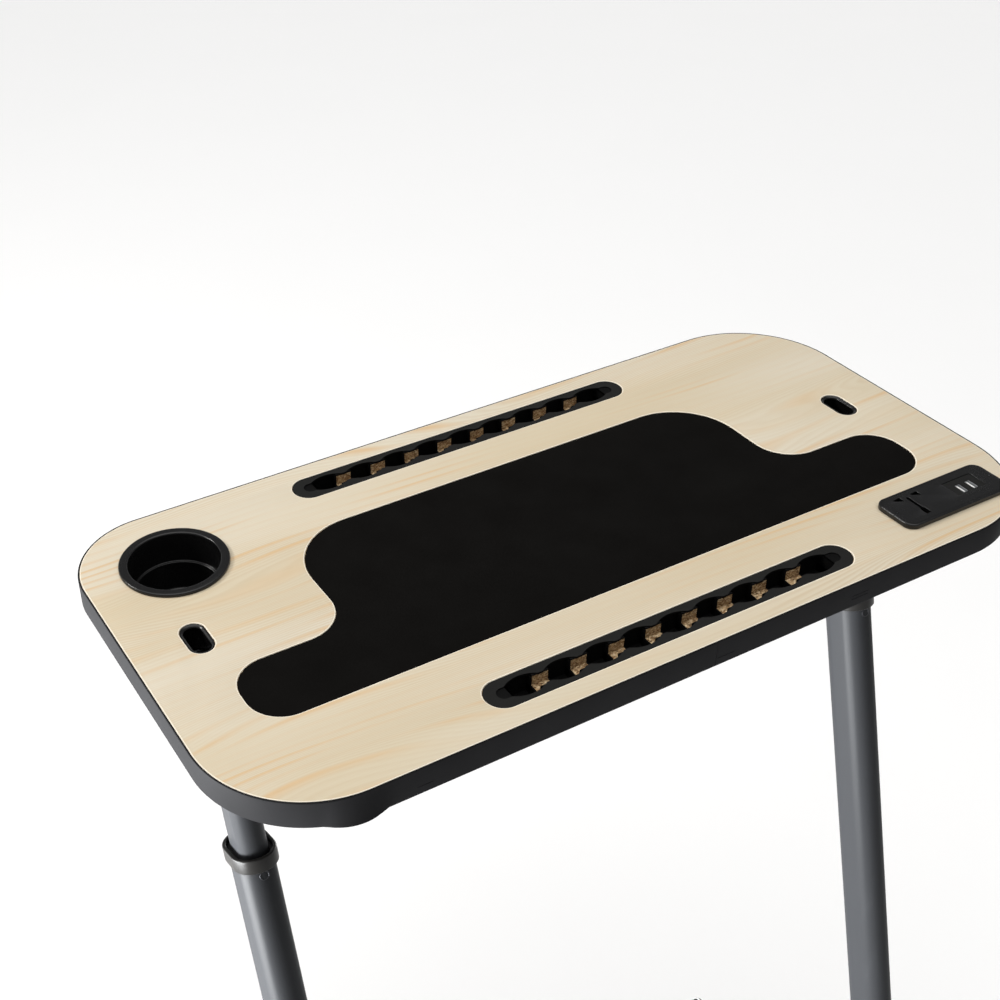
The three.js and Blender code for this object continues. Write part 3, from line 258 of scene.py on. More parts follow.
# %% [markdown]
# ## World
# The world is a very large room. Its walls are dim, because the black plastics mirror them and
# would turn grey. Its ceiling is a wide bright panel, and a pale band at the horizon lets the
# floor and the background meet with hardly a line in a view from the side.

# %% World
world = bpy.data.worlds.new("studio")
world.use_nodes = True
bpy.context.scene.world = world
world_nodes = Nodes(world.node_tree)
direction = world_nodes.node("ShaderNodeTexCoord")
height = world_nodes.node("ShaderNodeSeparateXYZ", None, {0: direction}, output=2)
horizon, wall, ceiling = (0.87, 0.87, 0.87, 1.0), (0.22, 0.22, 0.225, 1.0), (2.12, 2.11, 2.09, 1.0)
sides_colour = world_nodes.mix(height.step(0.10, 0.26), horizon, wall)
room_colour = world_nodes.mix(height.step(0.72, 0.90), sides_colour, ceiling)
world_nodes.feed(world.node_tree.nodes["Background"].inputs["Color"], room_colour)
bpy.context.scene.view_settings.view_transform = "Standard"

floor_finish, nodes, shader = new_finish("pale_floor", Roughness=0.9, Specular_IOR_Level=0.1)
paler = nodes.mix(nodes.noise(3), (0.96, 0.96, 0.96, 1), (0.975, 0.975, 0.975, 1))
nodes.feed(shader.inputs["Base Color"], paler)
floor_mesh.materials.append(floor_finish)

# %% [markdown]
# ## The laminate
# The top's upper face is a printed wood decor: pale pine whose grain runs along the desk. A board
# is sawn through growth rings, so its lines are level lines of a hilly field. The field here is a
# plain slope across the desk plus a slow noise, pulled long in x. Its whole numbers give the wide
# warm flames, which taper where the field turns over, and its fifths give the fine lines between.

# %% Pine laminate
def pine_laminate():
    material, nodes, shader = new_finish("pine_laminate", Specular_IOR_Level=0.3)
    here = nodes.node("ShaderNodeTexCoord", output=3)
    across = nodes.node("ShaderNodeSeparateXYZ", None, {0: here}, output=1)
    hills = nodes.noise((1.25, 6.5, 1), (3.1, 0.4, 0), roughness=0.45)
    wobble = nodes.noise((9, 60, 1), (1, 6, 0))
    field = 78 * across + 18 * hills + 0.16 * wobble
    wide = field.math("FRACT", field)
    fine = field.math("FRACT", field * 5)
    flame = wide.step(0.38, 0.82) * (1 - wide.step(0.80, 1.0))
    line = fine.step(0.15, 0.75) * (1 - fine.step(0.78, 1.0))
    where_warm = nodes.noise((3.2, 30, 1), (3, 1, 0)).step(0.44, 0.66)
    where_lined = nodes.noise((2.5, 16, 1), (8, 2, 0), detail=1.0).step(0.36, 0.66)
    clouds = nodes.noise((1.8, 9, 1), (0, 5, 0)).step(0.32, 0.68)
    fibres = nodes.noise((24, 1300, 1), (1, 5, 0))
    pale, cream = screen_colour(213, 204, 185), screen_colour(205, 191, 163)
    tan, warm = screen_colour(192, 168, 131), screen_colour(209, 175, 130)
    brown = screen_colour(188, 163, 125)
    base = nodes.mix(clouds * 0.85, pale, cream)
    lined = nodes.mix(line * (0.12 + 0.30 * where_lined), base, tan)
    flamed = nodes.mix(flame * (0.08 + 0.72 * where_warm), lined, warm)
    colour = nodes.mix((fibres - 0.42) * 0.40, flamed, brown)
    nodes.feed(shader.inputs["Base Color"], colour)
    nodes.feed(shader.inputs["Roughness"], 0.46 + 0.12 * fibres - 0.05 * line)
    nodes.feed(shader.inputs["Normal"], nodes.bump(line * 0.5 + fibres * 0.5, 0.00005))
    return material


def pale_edge_and_highlight():
    """The pale core of the laminate where a cutter went round an opening, whitened further as a painted
    highlight for the bright line the edge catches.
    """
    material, nodes, shader = new_finish("laminate_cut_edge", Roughness=0.55, Specular_IOR_Level=0.3)
    # Near-white colours: partly the cut's own paler core, partly a painted highlight.
    colour = nodes.mix(nodes.noise(900), screen_colour(244, 237, 222), screen_colour(230, 218, 194))
    nodes.feed(shader.inputs["Base Color"], colour)
    return material


laminate_finish = pine_laminate()
laminate_edge_highlight_finish = pale_edge_and_highlight()
print("laminate nodes:", len(laminate_finish.node_tree.nodes))

# %% [markdown]
# ## Chipboard
# Where the slots are routed, webs of raw chipboard stay between them. Chipboard is pressed from
# chips of several colours, and a cut through it shows each chip as a patch of one tone. A Voronoi
# pattern has just such patches, stretched because the chips lie flat in the board.

# %% Chipboard
def chipboard():
    material, nodes, shader = new_finish("chipboard", Roughness=0.9, Specular_IOR_Level=0.15)
    flat_chips = {"Vector": nodes.stretched((560, 560, 1100)), "Scale": 1.0}
    chips = nodes.node("ShaderNodeTexVoronoi", None, flat_chips, output=1)
    tone = nodes.node("ShaderNodeSeparateColor", None, {0: chips})
    grain = nodes.noise((700, 700, 2400), detail=3.0, roughness=0.65)
    # The pits are dark as well as bumped: their dark colour is painted shade in the small hollows
    # between chips.
    shaded_pits = nodes.noise((650, 650, 1200), (4, 1, 2)).step(0.30, 0.42)
    stops = [(0.0, screen_colour(130, 102, 72)), (0.45, screen_colour(182, 152, 114)),
             (0.8, screen_colour(212, 186, 146)), (1.0, screen_colour(234, 214, 178))]
    patches = nodes.node("ShaderNodeValToRGB", {"stops": stops}, {0: tone})
    shaded = nodes.mix(grain * 0.25, patches, screen_colour(120, 88, 56))
    nodes.feed(shader.inputs["Base Color"], nodes.mix(shaded_pits, screen_colour(60, 42, 28), shaded))
    nodes.feed(shader.inputs["Normal"], nodes.bump(grain + shaded_pits, 0.0006))
    return material


chipboard_finish = chipboard()

# %% [markdown]
# ## Moulded plastics
# The cup, the grommets, the outlet and the slots' inserts are moulded: their surface is finely
# eroded, so the gloss breaks up, and dust and fingers dull it in large soft patches. One recipe
# serves them all, with a colour, a roughness and the size of the erosion as arguments.

# %% Plastics and paint
def moulded(name, colour, roughness, erosion, grain=1400, specular=0.4):
    """A moulded plastic: erosion is how much its fine texture dulls and dents it."""
    material, nodes, shader = new_finish(name, Specular_IOR_Level=specular)
    texture = nodes.noise(grain)
    patches = nodes.noise(28)
    lighter = tuple(min(1.0, 1.45 * v + 0.004) for v in colour[:3]) + (1.0,)
    nodes.feed(shader.inputs["Base Color"], nodes.mix(0.25 * texture + 0.5 * patches, colour, lighter))
    nodes.feed(shader.inputs["Roughness"], roughness + erosion * 0.3 * texture + 0.10 * patches)
    nodes.feed(shader.inputs["Normal"], nodes.bump(texture, 0.00008 * erosion))
    return material


def powder_coat(name, colour, roughness):
    """Baked paint on steel: an orange-peel swell, and specks where the powder ran thin."""
    material, nodes, shader = new_finish(name, Specular_IOR_Level=0.06)
    swell = nodes.noise(520, detail=1.5)
    specks = nodes.noise(2600, detail=1.0).step(0.60, 0.75)
    scuffs = nodes.noise((60, 60, 9), detail=3.0).step(0.55, 0.80)
    lighter = tuple(1.5 * v for v in colour[:3]) + (1.0,)
    nodes.feed(shader.inputs["Base Color"], nodes.mix(0.30 * specks + 0.20 * scuffs, colour, lighter))
    nodes.feed(shader.inputs["Roughness"], roughness + 0.07 * scuffs - 0.04 * specks)
    nodes.feed(shader.inputs["Normal"], nodes.bump(swell, 0.00005))
    return material


def bare_metal(name, colour, roughness):
    """Plated or turned metal: fine lines one way, and a cloudy dullness."""
    material, nodes, shader = new_finish(name, Metallic=1.0)
    lines = nodes.noise((900, 900, 60))
    cloud = nodes.noise(90)
    darker = tuple(0.6 * v for v in colour[:3]) + (1.0,)
    nodes.feed(shader.inputs["Base Color"], nodes.mix(0.5 * lines + 0.3 * cloud, colour, darker))
    nodes.feed(shader.inputs["Roughness"], roughness + 0.12 * lines + 0.12 * cloud)
    nodes.feed(shader.inputs["Normal"], nodes.bump(lines, 0.00002))
    return material


plastic_looks = {
    # name: colour on a screen, roughness, erosion, grain, specular
    "backing_laminate": ((40, 40, 39), 0.72, 0.6, 700, 0.06),
    "edge_band": ((26, 26, 27), 0.42, 0.5, 1100, 0.02),
    "mat": ((10, 9, 8), 0.80, 2.0, 1700, 0.03),
    "black_plastic": ((8, 8, 8), 0.16, 0.3, 1500, 0.38),
    "slot_plastic": ((21, 21, 20), 0.42, 0.8, 1300, 0.12),
    # The next finish is the slot plastic made darker: painted shade for the insert's wells and channel,
    # which are one plastic with the plate.
    "slot_depths": ((7, 7, 7), 0.50, 0.8, 1300, 0.05),
    "white_plastic": ((218, 218, 214), 0.40, 0.3),
    "collar_plastic": ((24, 23, 22), 0.28, 0.3, 1600, 0.18),
    "nylon": ((15, 15, 15), 0.48, 0.4),
    "caster_plastic": ((54, 55, 58), 0.52, 0.9, 900, 0.35),
}
metal_looks = {"brass": ((196, 160, 92), 0.28), "bright_steel": ((190, 192, 196), 0.24),
               "dark_steel": ((70, 71, 74), 0.34)}
finishes = {"maple_laminate": laminate_finish, "chipboard": chipboard_finish,
            "grey_paint": powder_coat("grey_paint", screen_colour(45, 46, 48), 0.40)}
for recipe, looks in ((moulded, plastic_looks), (bare_metal, metal_looks)):
    for name, (colour, *values) in looks.items():
        finishes[name] = recipe(name, screen_colour(*colour), *values)
print("finishes:", ", ".join(finishes))

# %% [markdown]
# ## Outlines
# Nearly every part of the desk is a plate or a tube, so it starts as a flat outline. An outline
# is listed by its corners, each with its own radius, and every corner becomes an arc. An arc may
# bend either way, which is how the mat gets its waist.

# %% Outlines
def soft_corners(corners, steps=8, closed=True):
    """The outline through corners (a, b, radius), each rounded by an arc of that radius."""
    points = []
    count = len(corners)
    for index, (a, b, radius) in enumerate(corners):
        here = Vector((a, b))
        if radius == 0 or (not closed and index in (0, count - 1)):
            points.append((a, b))
            continue
        into = (here - Vector(corners[index - 1][:2])).normalized()
        out = (Vector(corners[(index + 1) % count][:2]) - here).normalized()
        bend = math.atan2(into.x * out.y - into.y * out.x, into.dot(out))
        start = here - into * radius * abs(math.tan(bend / 2))
        side = math.copysign(1, bend)
        spoke = Vector((into.y, -into.x)) * side * radius
        centre = start - spoke
        for step in range(steps + 1):
            spun = Matrix.Rotation(bend * step / steps, 2) @ spoke
            points.append(tuple(centre + spun))
    return points


def rectangle(length, width, radius, steps, x=0, y=0):
    a, b = length / 2, width / 2
    spots = ((x + a, y + b), (x - a, y + b), (x - a, y - b), (x + a, y - b))
    return soft_corners([(*spot, radius) for spot in spots], steps)


def obround(width, length, steps, x=0, y=0):
    """Two half circles joined by straight sides; the last step keeps the arcs from touching."""
    return rectangle(width, length, min(width, length) / 2 - 0.01, steps, x, y)


def top_outline(inset):
    """The desk's outline, drawn in from its edge; one far corner is tighter than the rest."""
    a, b = top_length / 2 - inset, top_width / 2 - inset
    wide, tight = 100 - inset, 76 - inset
    return soft_corners([(a, b, wide), (-a, b, tight), (-a, -b, wide), (a, -b, wide)], 40)


def mat_outline(grow):
    """The mat: two wings at the near side, and a block that reaches towards the far edge."""
    wing_x, near, shoulder = 339.5 + grow, -102 - grow, -30 + grow
    block_x, far = 226 + grow, 102.5 + grow
    wing, crown, waist = 31 + grow, 62 + grow, 37 - grow
    right = [(wing_x, near, wing), (wing_x, shoulder, wing),
             (block_x, shoulder, waist), (block_x, far, crown)]
    left = [(-x, y, radius) for x, y, radius in reversed(right)]
    return soft_corners(right + left, 20)


print("corners of the mat's outline:", len(mat_outline(0)))

# %% [markdown]
# ## Plates and turned pieces
# A plate is its outline lifted through a list of steps (inset, height), so the list is the shape
# of its edge: two steps give a sharp edge, a few more a rounded one. Holes have edges of their
# own. A turned piece is a profile carried round an axis, as on a lathe.

# %% Plates and turned pieces
def drawn_in(outline, inset):
    """The outline moved inwards, or outwards for a negative inset."""
    count = len(outline)
    result = []
    for index in range(count):
        before = Vector(outline[index - 1])
        here = Vector(outline[index])
        after = Vector(outline[(index + 1) % count])
        one = (here - before).normalized()
        two = (after - here).normalized()
        inward = Vector((-one.y - two.y, one.x + two.x)) / (1 + max(one.dot(two), -0.6))
        result.append(here + inward * inset)
    return result


def add_plate(mesh, place, outline, edge, holes=(), edge_finish=0):
    """A plate between the first and the last height of its edge, a list of (inset, height)."""
    loops = [(outline, edge, 1)] + [(hole, steps, -1) for hole, steps in holes]
    caps = ([], [])
    for points, steps, side in loops:
        rings = []
        for inset, height in steps:
            flat = drawn_in(points, inset * side)
            rings.append([mesh.verts.new(place @ Vector((p.x, p.y, height))) for p in flat])
        for low, high in zip(rings, rings[1:]):
            for index in range(len(low)):
                after = (index + 1) % len(low)
                corners = (low[index], low[after], high[after], high[index])
                face = mesh.faces.new(corners[::side])
                face.smooth = True
                face.material_index = edge_finish
        caps[0].append(rings[0])
        caps[1].append(rings[-1])
    for rings, turned_over in ((caps[0], True), (caps[1], False)):
        fill_cap(mesh, place, rings, turned_over)


def fill_cap(mesh, place, rings, turned_over):
    """Flat triangles between an outer ring and the rings of its holes."""
    back = place.inverted()
    flat = [[Vector((*(back @ vertex.co).xy, 0)) for vertex in ring] for ring in rings]
    vertices = [vertex for ring in rings for vertex in ring]
    for triangle in tessellate_polygon(flat):
        a, b, c = (back @ vertices[i].co for i in triangle)
        upwards = (b - a).cross(c - a).z > 0
        order = triangle if upwards != turned_over else triangle[::-1]
        if len(set(order)) == 3:
            mesh.faces.new([vertices[i] for i in order])


def add_turned(mesh, place, profile, steps, finish=0):
    """A piece turned about z from (radius, height) pairs, listed with the material on the left."""
    rings = []
    for radius, height in profile:
        if radius < 1e-6:
            rings.append([mesh.verts.new(place @ Vector((0, 0, height)))])
        else:
            points = ring_of_points(radius, steps)
            rings.append([mesh.verts.new(place @ Vector((x, y, height))) for x, y in points])
    closed = len(rings[0]) > 1 and len(rings[-1]) > 1
    pairs = list(zip(rings, rings[1:])) + ([(rings[-1], rings[0])] if closed else [])
    for low, high in pairs:
        for index in range(steps):
            after = (index + 1) % steps
            corners = [low[index % len(low)], low[after % len(low)],
                       high[after % len(high)], high[index % len(high)]]
            corners = list(dict.fromkeys(corners))
            if len(corners) > 2:
                face = mesh.faces.new(corners)
                face.smooth = True
                face.material_index = finish


def add_lathed(mesh, place, corners, arc_steps, steps, closed=False, finish=0):
    """A turned piece from the corners of its profile, each rounded by a radius of its own."""
    add_turned(mesh, place, soft_corners(corners, arc_steps, closed), steps, finish)


def rounded_edge(low, high, radius, under=0.0, steps=4):
    """Steps for a plate's edge: rounded above by radius and below by under."""
    edge = []
    for step in range(steps + 1 if under else 0):
        angle = math.pi / 2 * step / steps
        edge.append((under * (1 - math.sin(angle)), low + under * (1 - math.cos(angle))))
    if not under:
        edge.append((0, low))
    for step in range(steps + 1 if radius else 0):
        angle = math.pi / 2 * step / steps
        edge.append((radius * (1 - math.cos(angle)), high - radius * (1 - math.sin(angle))))
    if not radius:
        edge.append((0, high))
    return edge


def hole_edge(low, high, radius):
    """Steps for a hole's edge: sharp below and finely rounded above."""
    return rounded_edge(low, high, radius, 0.0, 3)


# %% [markdown]
# ## From a mesh to a piece of the desk
# Each finished mesh becomes one object that rides on the body it moves with. It takes its finish
# from the slot of the record unless finishes are given, and it hides the nodes of the frame it
# stands for. Edges sharper than 40 degrees are kept sharp, and the rest is shaded smooth.

# %% Pieces
def finished(mesh, name):
    """A plain mesh from a bmesh that is no longer needed."""
    data = bpy.data.meshes.new(name)
    mesh.to_mesh(data)
    mesh.free()
    return data


def new_piece(name, mesh, slot, body, stands_for=(), materials=None, sharp=40):
    """An object from a bmesh, or from a finished mesh, riding on a body."""
    data = finished(mesh, name) if isinstance(mesh, bmesh.types.BMesh) else mesh
    data.name = name
    if len(data.materials):  # clear() also sets every face back to the first material
        data.materials.clear()
    for material in materials or [finishes[slot]]:
        data.materials.append(material)
    data.set_sharp_from_angle(angle=math.radians(sharp))
    piece = bpy.data.objects.new(name, data)
    bpy.context.scene.collection.objects.link(piece)
    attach(piece, body)
    if stands_for:
        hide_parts(*stands_for)
    print(f"{name}: {len(data.polygons)} faces on {body}")
    return piece

# %% [markdown]
# ## The top
# The laminate is a sheet under a millimetre thick, glued to the board, with openings for the
# mat, both slots, the cup, the outlet and the cables. Its cut edges get a tiny round and a finish
# of their own, paler than its face: partly the paler core of the cut, and partly a painted
# highlight for the thin bright line that such an edge catches.

# %% The laminate and the backing
slot_length, slot_width = 365, 32
slot_centres = (("near", -162.5), ("far", 162.5))
cable_centres = (("left", -341.5), ("right", 341.5))
cable_y = 19
cup_x, cup_y = -318, 121
outlet_x, outlet_y = 307.8, -148.2


def through_holes():
    """The openings that go right through the top."""
    cup_hole = [(x + cup_x, y + cup_y) for x, y in ring_of_points(42.1, 64)]
    cable_holes = [obround(22.2, 40.3, 12, x, cable_y) for _, x in cable_centres]
    return [cup_hole, rectangle(98.6, 37.6, 4, 4, outlet_x, outlet_y), *cable_holes]


sheet = bmesh.new()
sheet_inset, slot_play, mat_play = 1.75, 0.8, 0.35
sheet_edge = [(0, -0.8), (0, -0.5), (0.15, -0.22), (0.45, -0.06), (0.95, 0)]
slot_holes = [rectangle(slot_length + slot_play, slot_width + slot_play, 16.35, 20, 0, y)
              for _, y in slot_centres]
openings = [(hole, sheet_edge) for hole in through_holes() + slot_holes + [mat_outline(mat_play)]]
add_plate(sheet, on_top, top_outline(sheet_inset), sheet_edge, openings, edge_finish=1)
new_piece("top_sheet", sheet, "maple_laminate", "desktop", ["top_laminate"],
          [laminate_finish, laminate_edge_highlight_finish])

backing = bmesh.new()
backing_edge = rounded_edge(-top_thickness, 0.8 - top_thickness, 0)
openings = [(hole, backing_edge) for hole in through_holes()]
add_plate(backing, on_top, top_outline(sheet_inset), backing_edge, openings)
new_piece("backing_sheet", backing, "backing_laminate", "desktop", ["bottom_laminate"])

# %% [markdown]
# ## The edge band
# A plastic band wraps the board and is butt-jointed in the middle of the near side. It is drawn
# as one cross-section carried round the outline, because a section can change on its way: near
# the cup's corner the lower lip was pulled out a little, and the arrises are soft all round.

# %% The edge band
def band_section():
    """The band's cross-section as (inset, height) from its lower inner corner outwards."""
    thick, low = 1.6, -top_thickness
    return soft_corners([(thick, low, 0.2), (0, low, 0.7), (0, 0, 1.2), (thick, 0, 0.2)], 5)


def lip_at(x, y, height):
    """How far the lower lip stands out: only at the near side, round one place along it."""
    middle, half_length, swell_top, greatest = -313, 24, 13, 5.2
    if y > 10 - top_width / 2:
        return 0
    along = max(0, 1 - ((x - middle) / half_length) ** 2)
    down = max(0, (-height - swell_top) / (top_thickness - swell_top))
    return greatest * along * down * down


def band_path():
    """The outline from one side of the seam, all the way round to the other side."""
    seam_x, seam, near, spacing = 11, 0.4, -top_width / 2, 6
    outline = top_outline(0)
    dense = []
    for index, (x, y) in enumerate(outline):
        after = outline[(index + 1) % len(outline)]
        count = max(1, int(math.dist((x, y), after) / spacing))
        dense += [(x + (after[0] - x) * i / count, y + (after[1] - y) * i / count)
                  for i in range(count)]
    near_side = [i for i, spot in enumerate(dense) if spot[1] < near + 1]
    start = min(near_side, key=lambda i: abs(dense[i][0] - seam_x))
    path = dense[start:] + dense[:start]
    path = [p for p in path if p[1] > near + 0.1 or abs(p[0] - seam_x) > seam]
    return [(seam_x + seam / 2, near)] + path + [(seam_x - seam / 2, near)]


path = band_path()
if path[1][0] < path[0][0]:
    path = path[::-1]
band = bmesh.new()
section = band_section()
rings = []
for index, (x, y) in enumerate(path):
    before = Vector(path[max(index - 1, 0)])
    after = Vector(path[min(index + 1, len(path) - 1)])
    along = (after - before).normalized()
    inward = Vector((-along.y, along.x))
    ring = []
    for inset, height in section:
        spot = Vector((x, y)) + inward * (inset - lip_at(x, y, height) * (inset < 1.0))
        ring.append(band.verts.new(on_top @ Vector((spot.x, spot.y, height))))
    rings.append(ring)
for one, two in zip(rings, rings[1:]):
    for index in range(len(section)):
        after = (index + 1) % len(section)
        band.faces.new((one[index], one[after], two[after], two[index])).smooth = True
band.faces.new(rings[0][::-1])
band.faces.new(rings[-1])
bmesh.ops.recalc_face_normals(band, faces=band.faces)
new_piece("band", band, "edge_band", "desktop", ["edge_band"])

# %% [markdown]
# ## Marks on the band
# Where the band was pressed on, the roller left a few long ridges on the near side. Each is a
# sliver that stands a third of a millimetre proud, enough to catch the light as a thin line.

# %% Marks on the band
marks = bmesh.new()
for start, end, height in ((12, 29, -17.5), (-265, -251, -17.5), (154, 172, -13.5), (154, 172, -16.8)):
    spot = Matrix.Translation(((start + end) / 2, 0.1 - top_width / 2, height)) @ z_to_near
    add_plate(marks, on_top @ spot, obround(end - start, 0.9, 5), rounded_edge(0, 0.4, 0.3, 0, 3))
new_piece("band_marks", marks, "edge_band", "desktop")

# %% [markdown]
# ## The mat
# The mat is a sheet of dense rubber let into the top, a hair below its face. It is not cloth: it
# lies glued in its recess and keeps its shape, so a plate with a soft upper edge is the whole form.

# %% The mat
mat = bmesh.new()
add_plate(mat, on_top, mat_outline(-0.1), rounded_edge(-2.3, -0.3, 0.5))
new_piece("mat", mat, "mat", "desktop", ["desk_mat"])

# %% [markdown]
# ## A workshop for Geometry Nodes
# Shapes that follow a rule are best written as the rule itself. A node tree takes named sizes and
# gives the mesh, so one tree can make several pieces. The helper below builds the tree's inputs,
# sets them by their identifiers before the tree first runs, and turns the result into a mesh.

# %% Trees
class Tree(Nodes):
    """A Geometry Nodes tree with named inputs; its shape is read once, as a plain mesh."""

    KINDS = {float: "NodeSocketFloat", int: "NodeSocketInt"}

    def __init__(self, name, values):
        super().__init__(bpy.data.node_groups.new(name, "GeometryNodeTree"))
        self.values = values
        self.sockets = {}
        for label, value in values.items():
            kind = self.KINDS.get(type(value), "NodeSocketObject")
            made = self.tree.interface.new_socket(label, in_out="INPUT", socket_type=kind)
            self.sockets[label] = made
        self.tree.interface.new_socket("Geometry", in_out="OUTPUT", socket_type="NodeSocketGeometry")
        self.given = self.node("NodeGroupInput")

    def size(self, label):
        """The named input as a signal."""
        return Signal(self, self.given.socket.node.outputs[label])

    def join(self, *shapes):
        made = self.tree.nodes.new("GeometryNodeJoinGeometry")
        for shape in shapes:
            self.tree.links.new(shape.socket, made.inputs[0])
        return Signal(self, made.outputs[0])

    def vector(self, x=0, y=0, z=0):
        return self.node("ShaderNodeCombineXYZ", None, {0: x, 1: y, 2: z})

    def placed(self, shape, move=(0, 0, 0), turn=(0, 0, 0), scale=(1, 1, 1)):
        sockets = {"Geometry": shape, "Translation": move, "Rotation": turn, "Scale": scale}
        return self.node("GeometryNodeTransform", None, sockets)

    def block(self, size, middle):
        """A box of that size round its middle point."""
        box = self.node("GeometryNodeMeshCube", None, {"Size": self.vector(*size)})
        return self.placed(box, self.vector(*middle))

    def both(self, shape):
        """The shape, and the shape turned half round."""
        return self.join(shape, self.placed(shape, turn=(0, 0, math.pi)))

    def row(self, count, first, step):
        """Points in a row along x."""
        sockets = {"Count": count, "Start Location": self.vector(first), "Offset": self.vector(step)}
        return self.node("GeometryNodeMeshLine", {"mode": "OFFSET"}, sockets)

    def instances(self, points, shape, **sockets):
        sockets = {"Points": points, "Instance": shape, **sockets}
        return self.node("GeometryNodeInstanceOnPoints", None, sockets)

    def arc(self, radius, start, sweep):
        """Part of a circle round z, in fourteen points."""
        sockets = {"Resolution": 14, "Radius": radius, "Start Angle": start, "Sweep Angle": sweep}
        return self.node("GeometryNodeCurveArc", {"mode": "RADIUS"}, sockets)

    def grid(self, length, width, columns=2, rows=2):
        """A level grid of points joined by faces."""
        sockets = {"Size X": length, "Size Y": width, "Vertices X": columns, "Vertices Y": rows}
        return self.node("GeometryNodeMeshGrid", None, sockets)

    def real(self, *shapes):
        """The shapes joined, and their instances made real."""
        return self.node("GeometryNodeRealizeInstances", None, {0: self.join(*shapes)})

    def merged(self, distance, *shapes):
        """The shapes joined, and their points merged where they lie that close."""
        sockets = {"Geometry": self.join(*shapes), "Distance": distance}
        return self.node("GeometryNodeMergeByDistance", None, sockets)

    def bake(self, shape, material):
        """Ends the tree in Realize Instances and Set Material, and returns its mesh."""
        sockets = {"Geometry": self.real(shape), "Material": material}
        painted = self.node("GeometryNodeSetMaterial", None, sockets)
        self.tree.links.new(painted.socket, self.tree.nodes.new("NodeGroupOutput").inputs[0])
        carrier = bpy.data.objects.new(self.tree.name, bpy.data.meshes.new("empty"))
        bpy.context.scene.collection.objects.link(carrier)
        modifier = carrier.modifiers.new("shape", "NODES")
        modifier.node_group = self.tree
        for label, value in self.values.items():
            modifier[self.sockets[label].identifier] = value
        depsgraph = bpy.context.evaluated_depsgraph_get()
        data = bpy.data.meshes.new_from_object(carrier.evaluated_get(depsgraph))
        carrier.modifiers.remove(modifier)
        bpy.data.objects.remove(carrier)
        print(f"{self.tree.name}: {len(data.polygons)} faces from {len(self.values)} sizes")
        return data


def welded(data, distance=0.00002):
    """The mesh with doubled points merged and its faces turned outwards."""
    mesh = bmesh.new()
    mesh.from_mesh(data)
    bmesh.ops.remove_doubles(mesh, verts=mesh.verts, dist=distance)
    bmesh.ops.recalc_face_normals(mesh, faces=mesh.faces)
    for face in mesh.faces:
        face.smooth = True
    mesh.to_mesh(data)
    mesh.free()
    return data


def soften(piece, width):
    """A bevel on the piece's sharp edges."""
    bevel = piece.modifiers.new("soft_edges", "BEVEL")
    bevel.width = width * mm
    bevel.segments = 3
    bevel.limit_method = "ANGLE"
    bevel.angle_limit = math.radians(35)
    bevel.harden_normals = True


# %% [markdown]
# ## The scalloped slots
# Each slot takes a tablet or a phone in a straight channel, and pens in nine small wells. Its
# insert is moulded: a scalloped plate, a well hanging under each lobe, and two ribs over each web
# of the board. All of it follows from the pitch and a few widths, so the tree works with rules:
# one arc is put at every lobe on both sides, the joined arcs are filled together with the outer
# obround, and the wells are boxes between one web and the next.

# %% The slots' rule
slot_sizes = {
    "Lobes": 9, "Pitch": 36.6 * mm, "Lobe Width": 22.5 * mm, "Neck Width": 12.5 * mm,
    "Neck Length": 5 * mm, "Opening Length": 344 * mm, "Plate Length": slot_length * mm,
    "Plate Width": slot_width * mm, "Thickness": 2 * mm, "Web Thickness": 15 * mm,
    "Rib Thickness": 1 * mm, "Channel Width": 13.4 * mm, "Channel Depth": 11.2 * mm,
    "Well Width": 24 * mm, "Well Depth": 18.2 * mm, "Well Wall": 1.2 * mm,
    "Well Gap": 0.3 * mm, "Tip Floor": 10 * mm,
}


def slot_outline(tree):
    """The filled outline of the plate with its scalloped opening, as a flat mesh."""
    pitch, lobe, neck = tree.size("Pitch"), tree.size("Lobe Width"), tree.size("Neck Width")
    straight = tree.size("Neck Length")
    chord = (pitch - straight) / 2
    rise = (lobe - neck) / 2
    radius = (chord * chord + rise * rise) / (2 * rise)
    spread = chord.math("ARCSINE", chord / radius)
    arc = tree.arc(radius, math.pi / 2 - spread, 2 * spread)
    side = tree.placed(arc, tree.vector(0, lobe / 2 - radius))
    row_end = tree.size("Lobes") * pitch / 2
    lobes = tree.instances(tree.row(tree.size("Lobes"), pitch / 2 - row_end, pitch), tree.both(side))

    def line(low, high):
        sockets = {"Start": tree.vector(low, neck / 2), "End": tree.vector(high, neck / 2)}
        return tree.node("GeometryNodeCurvePrimitiveLine", None, sockets)

    between = tree.row(tree.size("Lobes") - 1, pitch - row_end, pitch)
    necks = tree.instances(between, tree.both(line(straight / -2, straight / 2)))
    tip_start = tree.size("Opening Length") / 2 - neck / 2
    bow = tree.arc(neck / 2, -math.pi / 2, math.pi)
    lead = row_end - straight / 2
    far_leads = tree.join(line(lead, tip_start), line(-1 * tip_start, -1 * lead))
    tips = tree.both(tree.join(tree.placed(bow, tree.vector(tip_start)), far_leads))
    wire = tree.node("GeometryNodeCurveToMesh", None, {0: tree.real(lobes, necks, tips)})
    opening = tree.node("GeometryNodeMeshToCurve", None, {0: tree.merged(0.03 * mm, wire)})
    sockets = {"Width": tree.size("Plate Length"), "Height": tree.size("Plate Width")}
    corners = tree.node("GeometryNodeCurvePrimitiveQuadrilateral", None, sockets)
    nearly_half = 0.4998
    sockets = {"Curve": corners, "Count": 18, "Radius": tree.size("Plate Width") * nearly_half,
               "Limit Radius": True}
    outer = tree.node("GeometryNodeFilletCurve", {"mode": "POLY"}, sockets)
    return tree.node("GeometryNodeFillCurve", {"mode": "NGONS"}, {0: tree.join(opening, outer)})


